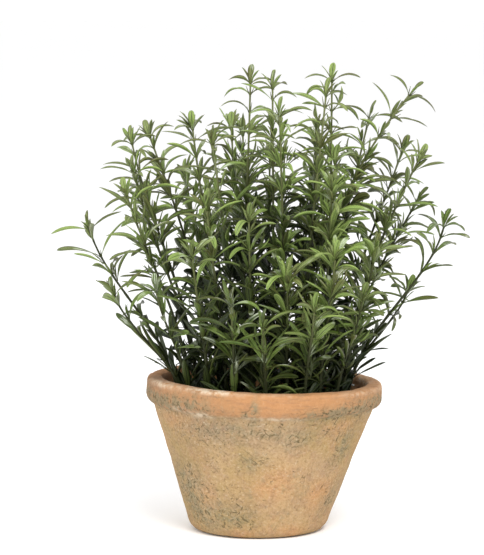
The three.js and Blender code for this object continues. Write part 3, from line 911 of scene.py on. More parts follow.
class Fineness(Enum):
    """How leaves are made: in full, smaller on side shoots, and slim for the narrowest."""

    FULL = BladeForm(11, (-1.0, -0.62, -0.2, 0.0, 0.2, 0.62, 1.0), (0.6, 0.0, -0.6))
    SMALL = BladeForm(7, (-1.0, -0.45, 0.0, 0.45, 1.0), (0.5, -0.5), groove=0.08)
    SLIM = BladeForm(6, (-1.0, 0.0, 1.0), (0.0,), channel=0.3, groove=0.0)


def blade_width(s: np.ndarray, blunt: float) -> np.ndarray:
    """Share of the full width along a leaf.

    Args:
        s: Shares of the leaf's length.
        blunt: 0 for a lance that tapers to a point, to 1 for a spoon with a blunt end.

    Returns:
        The width share at each s.
    """
    stalk_end, stalk_width = 0.04, 0.30
    widest = 0.44 + 0.20 * blunt
    taper, roundness = 1.7 + 1.1 * blunt, 0.95 - 0.45 * blunt
    rise = np.clip((s - stalk_end) / (widest - stalk_end), 0, 1)
    opened = stalk_width + (1 - stalk_width) * rise * rise * (3 - 2 * rise)
    fall = np.clip((s - widest) / (1 - widest), 0, 1)
    return opened * np.clip(1 - fall**taper, 0, 1) ** roundness


@dataclass
class LeafMaker:
    """Makes the fine mesh of leaves, stems and spikes of one sprig."""

    CROWDED_TIP = 0.4
    OPENING, OPENED = 0.08, 0.3
    WAVE, WAVES = 0.35, (1.2, 2.2)
    SUNK, CAP = 0.35, 0.2
    # A leaf's tone is drawn at random, and lifted where painted sunlight falls
    TONE_DRAWN, TONE_SUN, TONE_LIFT, TONE_LEAST = 0.86, 0.14, 0.34, 0.1
    SPIKE, SPIKE_SIDES, SPIKE_WOODY = ((0.0, 1.0), (0.55, 0.75), (0.9, 0.35)), 4, 0.5
    STEEP, STEEP_GUIDE, LEVEL_GUIDE = 0.5, (0.31, 0.95, 0.0), (0.1, 0.2, 1.0)
    FOOT_CAP = 0.3

    draft: Draft
    dice: Dice

    def leaf(self, leaf: Leaf, form: Fineness, age: float, blunt: float, sun: float) -> None:
        """Adds a leaf.

        Args:
            leaf: Its arc and sizes.
            form: How finely it is made.
            age: 0 for the old inner green in painted shade to 1 for the young pale green.
            blunt: 0 for a pointed leaf to 1 for a spoon-shaped one.
            sun: 0 in the shade to 1 where the painted sunlight is brightest.
        """
        blade = form.value
        t = np.linspace(0, 1, blade.stations + 1)[:-1]
        s = 1 - (1 - t) ** (1.0 + self.CROWDED_TIP * blunt)
        ease = np.clip((s - self.OPENING) / self.OPENED, 0, 1)
        across, height, share = blade.section(leaf.width * blade_width(s, blunt), ease)
        centre, right, face = self.carried(leaf, s)
        rings = centre[:, None, :] + across[:, ::-1, None] * right[:, None, :]
        rings = rings + height[:, ::-1, None] * face[:, None, :]
        around = len(share)
        foot = centre[:1] - self.CAP * np.array(leaf.out)
        points = np.vstack([foot, rings.reshape(-1, 3), np.array(leaf.at(1.0))[None, :]])
        under = np.array([0.0] * len(blade.upper) + [1.0] * len(blade.lower))[::-1]
        tone = self.dice.throw() * (self.TONE_DRAWN + self.TONE_SUN * sun) + self.TONE_LIFT * sun
        self.draft.add(points, tube_faces(blade.stations, around), {
            "across": [0, *np.tile(np.abs(share[::-1]), blade.stations), 0.5],
            "along": [0, *np.repeat(s, around), 1],
            "under": [0, *np.tile(under, blade.stations), 0.5],
            "tone": max(self.TONE_LEAST, held(tone)),
            "age": age,
        })

    def carried(self, leaf: Leaf, s: np.ndarray) -> tuple[np.ndarray, np.ndarray, np.ndarray]:
        """A leaf's centre line, with the frame that its section takes there.

        Args:
            leaf: Its arc and sizes.
            s: Shares of its length.

        Returns:
            The centre, the way to the right and the way that the blade faces, a row for each s.
        """
        angle = leaf.lift + leaf.bend * s
        wave = self.dice.spread(self.WAVE) * np.sin(math.pi * s * self.dice.between(*self.WAVES))
        turn = (leaf.twist * s + wave)[:, None]
        along, out = np.array(leaf.along), np.array(leaf.out)
        side = np.cross(along, out)
        upper = np.sin(angle)[:, None] * along - np.cos(angle)[:, None] * out
        right = np.cos(turn) * side + np.sin(turn) * upper
        face = np.cos(turn) * upper - np.sin(turn) * side
        up = (np.sin(angle) - math.sin(leaf.lift)) / leaf.bend
        off = (math.cos(leaf.lift) - np.cos(angle)) / leaf.bend
        root = np.array(leaf.root) - out * self.SUNK
        return root + leaf.length * (up[:, None] * along + off[:, None] * out), right, face

    def spike(self, root: Place, heading: Place, length: float, girth: float, age: float) -> None:
        """Adds a thin pointed spike, of a length and a girth at its root."""
        path, girths = zip(*((root.plus(heading, length * far), girth * slim) for far, slim in self.SPIKE))
        self.rod(path, girths, self.SPIKE_SIDES, age, self.SPIKE_WOODY)

    def rod(self, path: Sequence[Place], girths: Sequence[float], sides: int,
            age: float | np.ndarray, woody: float = 1.0, tone: float = 0.5) -> None:
        """Adds a round rod along a path.

        Args:
            path: Its centre line.
            girths: Its radius at each point of the path.
            sides: How many sides it has.
            age: As for a leaf, one figure or one for each point of the path.
            woody: 1 for stem, 0 for leaf.
            tone: 0 to 1, above 0.64 for a silvery stem.
        """
        line = np.array(path)
        step = np.gradient(line, axis=0)
        step /= np.linalg.norm(step, axis=1)[:, None]
        guide = self.STEEP_GUIDE if abs(step[0][2]) > self.STEEP else self.LEVEL_GUIDE
        side = np.cross(np.array(guide), step)
        side /= np.linalg.norm(side, axis=1)[:, None]
        other = np.cross(step, side)
        turn = (np.arange(sides) * 2 * math.pi / sides)[None, :, None]
        offset = np.cos(turn) * side[:, None, :] + np.sin(turn) * other[:, None, :]
        rings = line[:, None, :] + offset * np.array(girths)[:, None, None]
        tip = line[-1] + step[-1] * girths[-1]
        foot = line[0] - step[0] * girths[0] * self.FOOT_CAP
        points = np.vstack([foot[None, :], rings.reshape(-1, 3), tip[None, :]])
        ages = np.repeat(np.broadcast_to(age, len(path)), sides)
        self.draft.add(points, tube_faces(len(path), sides), {
            "along": [0, *np.repeat(np.linspace(0, 1, len(path)), sides), 1],
            "tone": tone,
            "age": [ages[0], *ages, ages[-1]],
            "woody": woody,
        })


class Patch(NamedTuple):
    """A soft-edged patch: its middle and spread across and upwards, and its strength.

    On the pot, across is the turn from the front in degrees; among the leaves it is x in mm.
    """

    across: float
    z: float
    wide: float
    tall: float
    share: float = 1.0

    def at(self, across: float, z: float) -> float:
        """How strong it is at a place."""
        off = (across - self.across + 180) % 360 - 180
        return self.share * math.exp(-((off / self.wide) ** 2) - ((z - self.z) / self.tall) ** 2)


class Rise(NamedTuple):
    """A share that grows from 0 at its start to 1 over a length, downwards if that is below 0."""

    start: float
    length: float

    def at(self, value: float) -> float:
        """The share at a value."""
        return held((value - self.start) / self.length)


class SmallBlade(NamedTuple):
    """The figures or ranges that a small leaf's sizes are drawn from, in mm and radians."""

    lengths: Pair
    widths: Pair
    lift: float | Pair
    bends: Pair
    twist: float

    def draw(self, root: Place, along: Place, out: Place, dice: Dice) -> Leaf:
        """A leaf with drawn sizes.

        Args:
            root: Where it stands.
            along: The way that it would grow without a lift.
            out: The way that it bends.
            dice: The draws.

        Returns:
            The leaf.
        """
        length, width = dice.between(*self.lengths), dice.between(*self.widths)
        lift = dice.between(*self.lift) if isinstance(self.lift, tuple) else self.lift
        bend, twist = dice.between(*self.bends), dice.spread(self.twist)
        return Leaf(root, along, out, length, width, lift, bend, twist)


@dataclass
class Foliage:
    """Builds each sprig as one piece: stem, leaves, side shoots and spikes."""

    NAMES = ("across", "along", "under", "tone", "age", "woody")
    SEED = 9001
    STEM_SIDES, STEM_STEP = 8, 2
    GIRTH_FOOT, GIRTH_TIP = 1.05, 0.52
    SWELLING, SWELLING_LENGTH = 0.22, 1.8
    GREEN_Z, GREEN_RISE, GREEN_BY_Y, GREEN_BY_X, GREEN_X = 180.0, 55.0, 1.2, 0.5, 60.0

    # Depth in the bush: the green gets painted shade deep inside it, and is darker low down and on the
    # right arm
    REACH_SIDE, REACH_FRONT, REACH_BACK, REACH_UP = 116.0, 75.0, 92.0, 190.0
    SKIN = Rise(0.48, 0.40)
    LOW, DIM, DIM_LEFT, DIM_LEFT_X, DIM_LEFT_Y = Rise(95, 70), 0.42, 0.45, -25, 20
    ARM_BELOW = 215.0
    ARM_OLDER, ARM_OLDER_BY = Rise(72, 30), 0.35
    # Painted sunlight: brightest on the front sprigs right of the middle and in the lit patches, duller on
    # the right arm
    ARM_DULLER, ARM_DULLER_BY = Rise(76, 20), 0.5
    TO_FRONT = Rise(15, -30)
    SUNNY = Patch(29, 171, 36, 38)
    LIT = (Patch(-64, 200, 38, 28, 0.85), Patch(0, 222, 30, 24, 0.75), Patch(40, 212, 22, 22, 0.5))
    # Hollows where the green gets painted shade
    SUNK_IN = Patch(16, 190, 13, 13, 0.6)
    POCKETS = (Patch(-38, 141, 34, 24, 0.6), SUNK_IN, Patch(-14, 166, 18, 20, 0.3))

    # How much painted sunlight lifts a leaf's green
    TONE_AT, SUN_AGE, SUN_YOUNGER = 0.6, 0.62, 0.22
    HIGH = Rise(160, 60)
    SHORT_END, UPRIGHT_WIDTH, UPRIGHT_BLUNT = 16.0, 0.6, 0.3
    WIDTHS, WIDER_HIGH = (0.9, 1.15), 0.05
    NARROW_BELOW, NARROW_BEYOND, NARROWED = 150.0, 84.0, 0.86
    BROAD_Z, BROAD_RISE, BROADER = 168.0, 32.0, 0.09
    BLUNT_LOW, BLUNT_DRAWN, BLUNT_POWER, BLUNT_POWER_HIGH = 0.3, 0.7, 0.6, 0.9
    VARIED = Rise(235, -40)
    VARIED_LENGTH, VARIED_LIFT, VARIED_BEND = (-0.28, 0.1), 0.26, (-0.5, 0.4)

    SPIKE_LEANS, SPIKE_OFF, SPIKE_LENGTHS, SPIKE_GIRTH = (0.15, 0.6), 0.3, (3.0, 8.0), 0.34
    TUFTS_BELOW, TUFT_BLADES, TUFT_LEANS, TUFT_OFF = 188.0, 3.0, (0.06, 0.42), 0.34
    TUFT_YOUNGER, TUFT_SUN, SLIM_BLUNT = 0.12, 0.7, 0.2
    SLIM = SmallBlade((6.5, 13.5), (1.0, 1.6), 0.04, (0.15, 0.6), 0.8)
    YOUNG_ABOVE, YOUNG_BELOW, YOUNG_OFF, YOUNG_YOUNGER = 140.0, 240.0, 0.9, 0.1
    YOUNG_MOST, YOUNG_AT_SIDE, YOUNG_BY_SUN = 2.3, 0.9, 1.4
    YOUNG = SmallBlade((9.0, 17.0), (1.7, 3.0), (0.15, 0.6), (0.15, 0.7), 0.9)

    SHOOTS_LOW, SHOOTS_HIGH, SHOOT_TURN, SHOOT_SUNK = 0.6, 0.32, 0.3, 0.6
    SHOOT_LEANS, SHOOT_REACH, SHOOT_BEND, SHOOT_SAG = (48, 72), (3.0, 7.5), 0.55, -0.25
    SHOOT_GIRTHS, SHOOT_SIDES, SHOOT_BLUNT = [0.42, 0.38, 0.34], 6, 0.7
    SMALL = SmallBlade((9.0, 16.0), (1.9, 3.0), 0.25, (0.2, 0.8), 0.8)
    NARROW = SmallBlade((7.0, 13.0), (1.1, 1.7), 0.1, (0.3, 1.0), 0.5)
    NARROW_LEAN, NARROW_OFF, SECOND_NARROW = (-0.2, 0.7), 0.6, 0.5
    TIP_TURN, TIP_SIZES = 0.4, (Sprig.TIP_LEAF, 3.9, 0.02, 0.3, 0.2)

    bush: Bush
    material: Material

    def build(self) -> None:
        """Builds every sprig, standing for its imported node."""
        for number, sprig in enumerate(self.bush.sprigs, start=1):
            node = f"sprig_{number:02d}"
            draft = Draft(self.NAMES)
            self.dice = Dice(self.SEED + number)
            self.maker = LeafMaker(draft, self.dice)
            self.stem(sprig)
            for place in [*sprig.nodes, *sprig.extra]:
                self.dress(place)
            self.tip_leaf(sprig.nodes[-1])
            piece = draft.piece(f"leafy_{node}", "foliage", self.material)
            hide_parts(node)
            log.info("%s: %d triangles", piece.name, draft.triangles())

    @classmethod
    def age(cls, place: Place) -> float:
        """How pale the green is: paler at the skin, with painted shade deep in the bush and in hollows.

        Args:
            place: The place.

        Returns:
            0 for old leaves deep in painted shade to 1 for young ones.
        """
        deep = cls.REACH_FRONT if place.y < 0 else cls.REACH_BACK
        flat = math.hypot(place.x / cls.REACH_SIDE, place.y / deep)
        depth = math.hypot(flat, (place.z - Sprig.START_Z) / cls.REACH_UP)
        left = place.x < cls.DIM_LEFT_X and place.y < cls.DIM_LEFT_Y
        low = 1 - (cls.DIM_LEFT if left else cls.DIM) * (1 - cls.LOW.at(place.z))
        arm = 1 - cls.ARM_OLDER_BY * cls.ARM_OLDER.at(place.x) * (place.z < cls.ARM_BELOW)
        shade = 1 - sum(pocket.at(place.x, place.z) for pocket in cls.POCKETS)
        return cls.SKIN.at(depth) * low * arm * shade

    @classmethod
    def sun(cls, place: Place) -> float:
        """How much painted sunlight the growth gets: most on the front sprigs right of the middle.

        Args:
            place: The place.

        Returns:
            0 or less in the shade to 1 and more where it is brightest.
        """
        arm = cls.ARM_DULLER_BY * cls.ARM_DULLER.at(place.x) * (place.z < cls.ARM_BELOW)
        lit = sum(patch.at(place.x, place.z) for patch in cls.LIT)
        bright = cls.SUNNY.at(place.x, place.z) * cls.TO_FRONT.at(place.y) + lit
        return bright - arm - cls.SUNK_IN.at(place.x, place.z)

    def dress(self, node: Node) -> None:
        """Makes all that a node bears.

        Args:
            node: The node.
        """
        for leaf in node.leaves:
            self.dress_leaf(node, leaf)
        if node.rank > 1 and not self.bush.at_low_side(node):
            for side in (1 - node.rank % 2, 3 - node.rank % 2):
                self.side_shoot(node, side)

    def dress_leaf(self, node: Node, leaf: Leaf) -> None:
        """Makes one leaf's mesh, and what grows between it and the stem.

        Args:
            node: The node that bears it.
            leaf: The leaf as it grew.
        """
        dice, high = self.dice, self.HIGH.at(node.place.z)
        if node.rank in (0, 1):
            leaf = self.varied(leaf)
        # Painted sunlight makes the leaf's green paler and brighter
        bright = max(0.0, self.sun(leaf.at(self.TONE_AT)))
        age = max(self.age(leaf.at(self.TONE_AT)), self.SUN_AGE * bright)
        age = min(1.0, age + self.SUN_YOUNGER * bright)
        upright = node.rank == 0 and leaf.length < self.SHORT_END
        share = self.UPRIGHT_WIDTH if upright else dice.between(*self.WIDTHS) + self.WIDER_HIGH * high
        outer = node.place.z < self.NARROW_BELOW or abs(node.place.x) > self.NARROW_BEYOND
        if outer and node.rank > 0:
            share *= self.NARROWED
        share *= 1 + self.BROADER * math.exp(-(((node.place.z - self.BROAD_Z) / self.BROAD_RISE) ** 2))
        blunt = self.UPRIGHT_BLUNT
        if not upright:
            drawn = dice.throw() ** (self.BLUNT_POWER + self.BLUNT_POWER_HIGH * high)
            blunt = self.BLUNT_LOW * (1 - high) + self.BLUNT_DRAWN * drawn
        wide = replace(leaf, width=leaf.width * share)
        self.maker.leaf(wide, Fineness.FULL, age, blunt, self.sun(node.place))
        self.axil(node, leaf, age)

    def varied(self, leaf: Leaf) -> Leaf:
        """A leaf near a tip with its length and arc varied, more so low down in the bush.

        Args:
            leaf: The leaf as it grew.

        Returns:
            The varied leaf.
        """
        share, dice = self.VARIED.at(leaf.root.z), self.dice
        length = leaf.length * (1 + share * dice.between(*self.VARIED_LENGTH))
        lift = max(Bush.LEAST_LIFT, leaf.lift + share * dice.spread(self.VARIED_LIFT))
        bend = leaf.bend * (1 + share * dice.between(*self.VARIED_BEND))
        return replace(leaf, length=length, lift=lift, bend=bend)

    def stem(self, sprig: Sprig) -> None:
        """Makes the stem, thinner towards the tip and a little swollen at each node.

        Args:
            sprig: The sprig.
        """
        path = [sprig.foot.plus(sprig.start, -Sprig.ROOT_DEPTH), *sprig.points[:: self.STEM_STEP]]
        girths = []
        for index, at in enumerate(path):
            share = max(0, index - 1) / (len(path) - 2)
            girth = self.GIRTH_FOOT + (self.GIRTH_TIP - self.GIRTH_FOOT) * share
            near = min(at.less(node.place).length() for node in sprig.nodes)
            swollen = self.SWELLING * math.exp(-((near / self.SWELLING_LENGTH) ** 2))
            girths.append(girth * (1 + swollen))
        ages = np.array([self.green(at) for at in path])
        self.maker.rod(path, girths, self.STEM_SIDES, ages, tone=self.dice.throw())

    def green(self, at: Place) -> float:
        """How green a stem is, 0 for bark to 1: more so high up and towards the front."""
        off = self.GREEN_BY_Y * min(0.0, at.y) + self.GREEN_BY_X * max(0.0, abs(at.x) - self.GREEN_X)
        return Rise(self.GREEN_Z + off, self.GREEN_RISE).at(at.z)

    def heading(self, leaf: Leaf, leans: Pair, off: float) -> Place:
        """A drawn way between a leaf and its stem.

        Args:
            leaf: The leaf.
            leans: The least and the most that it leans away from the stem, in radians.
            off: How far it may point off to a side.

        Returns:
            The way.
        """
        lean = self.dice.between(*leans)
        way = mix(leaf.along, math.cos(lean), leaf.out, math.sin(lean))
        return way.plus(leaf.along.cross(leaf.out), self.dice.spread(off)).unit()

    def axil(self, node: Node, leaf: Leaf, age: float) -> None:
        """Makes a tuft between a leaf and its stem: a spike, and slim young blades at some.

        Args:
            node: The node.
            leaf: Its leaf.
            age: The leaf's age.
        """
        heading = self.heading(leaf, self.SPIKE_LEANS, self.SPIKE_OFF)
        self.maker.spike(leaf.root, heading, self.dice.between(*self.SPIKE_LENGTHS), self.SPIKE_GIRTH, age)
        if self.YOUNG_ABOVE < node.place.z < self.YOUNG_BELOW:
            self.young_leaves(node, leaf, age)
        blades = 0 if node.place.z > self.TUFTS_BELOW else int(self.dice.throw() * self.TUFT_BLADES)
        for _ in range(blades):
            heading = self.heading(leaf, self.TUFT_LEANS, self.TUFT_OFF)
            out = heading.cross(leaf.out.cross(heading)).unit()
            slim = self.SLIM.draw(leaf.root, heading, out, self.dice)
            younger = min(1.0, age + self.TUFT_YOUNGER)
            sun = self.TUFT_SUN * self.dice.throw()
            self.maker.leaf(slim, Fineness.SLIM, younger, self.SLIM_BLUNT, sun)

    def young_leaves(self, node: Node, leaf: Leaf, age: float) -> None:
        """Makes a few young leaves that stand half upright between a leaf and its stem.

        Args:
            node: The node.
            leaf: Its leaf.
            age: The leaf's age.
        """
        dice, sun = self.dice, self.sun(node.place)
        most = self.YOUNG_AT_SIDE if self.bush.at_low_side(node) else self.YOUNG_MOST
        for _ in range(int(dice.throw() * (most + self.YOUNG_BY_SUN * sun))):
            sideways = node.along.cross(leaf.out)
            out = leaf.out.plus(sideways, dice.spread(self.YOUNG_OFF)).unit()
            young = self.YOUNG.draw(leaf.root, node.along, out, dice)
            self.maker.leaf(young, Fineness.SMALL, min(1.0, age + self.YOUNG_YOUNGER), dice.throw(), sun)

    def side_shoot(self, node: Node, side: int) -> None:
        """Makes a short stalk square to the leaves, with a small leaf and a narrow one or two.

        Args:
            node: The node.
            side: Its side, in quarter turns.
        """
        dice, sun = self.dice, self.sun(node.place)
        if dice.throw() > (self.SHOOTS_LOW if node.place.z < self.TUFTS_BELOW else self.SHOOTS_HIGH):
            return
        age = self.age(node.place)
        out = node.facing(side * math.pi / 2 + dice.spread(self.SHOOT_TURN))
        root = node.place.plus(out, node.half * self.SHOOT_SUNK)
        lean = math.radians(dice.between(*self.SHOOT_LEANS))
        heading = mix(node.along, math.cos(lean), out, math.sin(lean))
        reach = dice.between(*self.SHOOT_REACH)
        bend = root.plus(heading, reach * self.SHOOT_BEND).plus(node.along, self.SHOOT_SAG)
        end = root.plus(heading, reach)
        self.maker.rod([root, bend, end], self.SHOOT_GIRTHS, self.SHOOT_SIDES, age)
        below = node.along.cross(heading).cross(heading).times(-1).unit()
        small = self.SMALL.draw(end, heading, below, dice)
        self.maker.leaf(small, Fineness.SMALL, age, dice.throw() * self.SHOOT_BLUNT, sun)
        for _ in range(1 + int(dice.throw() < self.SECOND_NARROW)):
            turned = mix(node.along, 1.0, heading, dice.between(*self.NARROW_LEAN))
            turned = turned.plus(node.along.cross(out), dice.spread(self.NARROW_OFF)).unit()
            facing = turned.cross(heading.cross(turned)).unit().times(-1 if dice.throw() < 0.5 else 1)
            narrow = self.NARROW.draw(end, turned, facing, dice)
            self.maker.leaf(narrow, Fineness.SLIM, age, self.SLIM_BLUNT, sun)

    def tip_leaf(self, node: Node) -> None:
        """Makes the upright leaf that ends the stem."""
        leaf = Leaf(node.place, node.along, node.facing(self.dice.spread(self.TIP_TURN)), *self.TIP_SIZES)
        self.maker.leaf(leaf, Fineness.FULL, self.age(node.place), 1.0, self.sun(node.place))


class SkinPoint(NamedTuple):
    """A point of the pot's outline; worn is 1 on the rounded edges, which chip."""

    radius: float
    z: float
    worn: float


@dataclass
class ClayPot:
    """The clay half-pot: a dense turned skin that leans, sags and is chipped like hand work."""

    height: float = 89.5
    rim_radius: float = 70.0
    rim_band: float = 13.5
    rim_wall: float = 10.5
    shoulder_radius: float = 65.4
    foot_radius: float = 35.0
    foot_round_radius: float = 42.4
    foot_round_height: float = 7.5
    inner_foot_radius: float = 34.0
    inner_top: float = 84.5
    floor: float = 10.0
    edge_round: float = 2.0
    rim_below: float = 1.5
    rim_above: float = 4.5
    rim_round: float = 3.0
    rim_drift: float = 3.8
    rim_tip: float = math.tan(math.radians(2))
    rim_fade_below: float = 2.0
    rim_fade: float = 3.0
    foot_ease: float = 1.5
    foot_lift: float = 0.3
    inner_ease: float = 0.4
    floor_round: float = 2.0
    middle_radius: float = 2.0
    turns: int = 240
    step: float = 1.2
    bend_pieces: int = 6
    front_turn: float = 90.0
    lumps: tuple[Pair, ...] = ((0.5, 0.035), (0.24, 0.12), (0.12, 0.45))
    smooth_below: float = 1.0
    chips_above: float = 20.0
    chip_scale: float = 0.17
    chip_shift: Trio = (7, 3, 1)
    chip_depth: float = 2.0
    chip_least: float = 0.22
    growth: tuple[Patch, ...] = tuple(starmap(Patch, (
        (-56, 30, 17, 15, 1.3), (-50, 12, 18, 9, 1.0), (-19, 13, 15, 8, 1.1), (-6, 48, 9, 7, 0.8),
        (17, 61, 8, 4, 0.7), (54, 55, 9, 11, 1.0), (60, 20, 12, 12, 0.8), (28, 30, 7, 6, 0.6),
        (36, 77, 20, 3.5, 1.6), (68, 80, 24, 5.5, 1.9), (-58, 79, 30, 4.5, 2.0), (-36, 86, 14, 4, 0.5),
        (-80, 84, 10, 6, 0.9), (-5, 80, 1.8, 7, 1.3), (-9, 77, 3, 2, 1.2), (41, 80, 0.9, 4, 1.2),
        (-40, 62, 40, 7, 0.5), (20, 66, 40, 6, 0.5), (-20, 69, 26, 4, 0.5), (120, 40, 26, 18, 0.9),
        (175, 60, 30, 12, 0.8), (-130, 28, 24, 16, 0.9), (-170, 16, 24, 9, 0.8),
    )))
    glow: tuple[Patch, ...] = tuple(starmap(Patch, (
        (10, 34, 16, 10, 1.0), (45, 26, 12, 10, 1.0), (45, 67, 14, 7, 0.7), (-50, 69, 16, 8, 0.8),
        (-62, 6, 10, 5, 0.9), (-15, 3, 12, 4, 0.9), (27, 4, 14, 4, 0.8), (95, 58, 22, 12, 0.8),
        (150, 22, 24, 12, 0.8), (-100, 60, 22, 12, 0.8), (-150, 55, 20, 12, 0.7),
    )))
    chalk: tuple[Patch, ...] = tuple(starmap(Patch, (
        (-33, 75, 7, 1.6, 1.2), (-46, 77, 4, 1.2, 0.8), (4, 75, 14, 1.2, 0.8), (-62, 88.5, 12, 1.6, 0.9),
        (-28, 89, 15, 1.4, 1.2), (8, 89, 9, 0.9, 0.3), (52, 88.5, 16, 1.6, 0.4), (110, 88, 30, 1.6, 0.9),
        (-120, 76, 20, 1.4, 0.9), (-150, 88, 24, 1.6, 0.9),
    )))
    # Brown patches: the bands just under the rim are painted shade; the rest are brown stains and the dark
    # chips at the rim's left end
    shade: tuple[Patch, ...] = tuple(starmap(Patch, (
        (-24, 66, 22, 8, 1.0), (14, 60, 10, 8, 0.6), (-42, 48, 10, 8, 0.5), (-10, 20, 10, 7, 0.5),
        (40, 44, 10, 8, 0.5), (-78, 87, 18, 6, 1.5), (-45, 80, 24, 8, 0.6), (100, 30, 22, 12, 0.7),
        (-110, 44, 22, 12, 0.7), (160, 66, 24, 8, 0.8),
    )))

    def lean(self, x: float, y: float, z: float) -> Trio:
        """A point turned about the axis, moved as the pot leans."""
        share = z / self.height
        return x + POT_AXIS_X + self.rim_drift * share, y, z - self.rim_tip * x * share * share

    def inner_radius(self, z: float) -> float:
        """Radius of the inner wall at a height below the rim."""
        low, wider = self.floor + self.edge_round, self.rim_radius - self.rim_wall - self.inner_foot_radius
        return self.inner_foot_radius + wider * (z - low) / (self.inner_top - low)

    def profile(self) -> list[SkinPoint]:
        """The outline's points, from under the foot, out and up over the rim, and in to the floor.

        Returns:
            The points in order.
        """
        shoulder, rim = self.height - self.rim_band, self.rim_radius
        rim_in, inner_foot = rim - self.rim_wall, self.inner_foot_radius
        foot = self.foot_round_radius
        bends = [
            [(self.foot_radius, 0.0)],
            [(foot - self.foot_ease, self.foot_lift), (foot, self.foot_round_height)],
            [(self.shoulder_radius, shoulder - self.rim_below)],
            [(rim, shoulder), (rim, shoulder + self.rim_above)],
            [(rim, self.height - self.rim_round)],
            [(rim, self.height), (rim - self.rim_round, self.height)],
            [(rim_in + self.rim_round, self.height)],
            [(rim_in + self.inner_ease, self.height), (rim_in, self.inner_top)],
            [(inner_foot, self.floor + self.edge_round)],
            [(inner_foot, self.floor), (inner_foot - self.floor_round, self.floor)],
            [(self.middle_radius, self.floor)],
        ]
        points: list[SkinPoint] = []
        last = (self.middle_radius, 0.0)
        for bend in bends:
            end, middle, round_bend = bend[-1], bend[0], len(bend) > 1
            least = self.bend_pieces if round_bend else 2
            pieces = max(least, round(math.dist(last, end) / self.step))
            for k in range(pieces):
                t = k / pieces
                shares = ((1 - t) ** 2, 2 * t * (1 - t), t * t) if round_bend else (1 - t, 0.0, t)
                at = [sum(s * c for s, c in zip(shares, way)) for way in zip(last, middle, end)]
                points.append(SkinPoint(at[0], at[1], float(round_bend)))
            last = end
        points.append(SkinPoint(*last, 0.0))
        return points

    def build(self, material: Material) -> None:
        """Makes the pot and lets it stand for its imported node.

        Args:
            material: What the pot is made of.
        """
        outline = self.profile()
        flat = np.array([(point.radius, point.z) for point in outline])
        way = np.gradient(flat, axis=0)
        normal = np.stack([way[:, 1], -way[:, 0]], axis=1)
        normal /= np.linalg.norm(normal, axis=1)[:, None]
        laid = {"growth": self.growth, "glow": self.glow, "chalk": self.chalk, "shade": self.shade}
        draft = Draft(("rim", *laid))
        points, rows = [self.lean(0, 0, 0)], [[0.0] * len(draft.names)]
        fade = Rise(self.height - self.rim_band - self.rim_fade_below, self.rim_fade)
        for point, (out, up) in zip(outline, normal):
            for turn in range(self.turns):
                angle = 2 * math.pi * turn / self.turns
                cos, sin = math.cos(angle), math.sin(angle)
                push = self.roughness(point, cos, sin)
                radius, z = point.radius + out * push, point.z + up * push
                points.append(self.lean(radius * cos, radius * sin, z))
                front = math.degrees(angle) + self.front_turn
                shares = (sum(patch.at(front, point.z) for patch in patches) for patches in laid.values())
                rows.append([fade.at(point.z), *shares])
        points.append(self.lean(0, 0, self.floor))
        carried = dict(zip(draft.names, np.array([*rows, rows[0]]).T))
        draft.add(np.array(points), tube_faces(len(outline), self.turns), carried)
        piece = draft.piece("clay_pot", "pot", material)
        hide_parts("pot")
        log.info("%s: %d triangles", piece.name, draft.triangles())

    def roughness(self, point: SkinPoint, cos: float, sin: float) -> float:
        """How far hand work, wear and chips push the skin out, in mm.

        Args:
            point: The point of the outline.
            cos: Cosine of its turn about the axis.
            sin: Sine of its turn about the axis.

        Returns:
            The push, below zero where it goes in.
        """
        if point.z < self.smooth_below:
            return 0.0
        at = Vector((point.radius * cos, point.radius * sin, point.z))
        push = sum(depth * noise.noise(at * scale) for depth, scale in self.lumps)
        if point.worn and point.z > self.chips_above:
            chip = noise.noise(at * self.chip_scale + Vector(self.chip_shift))
            push -= self.chip_depth * max(0.0, chip - self.chip_least)
        return push


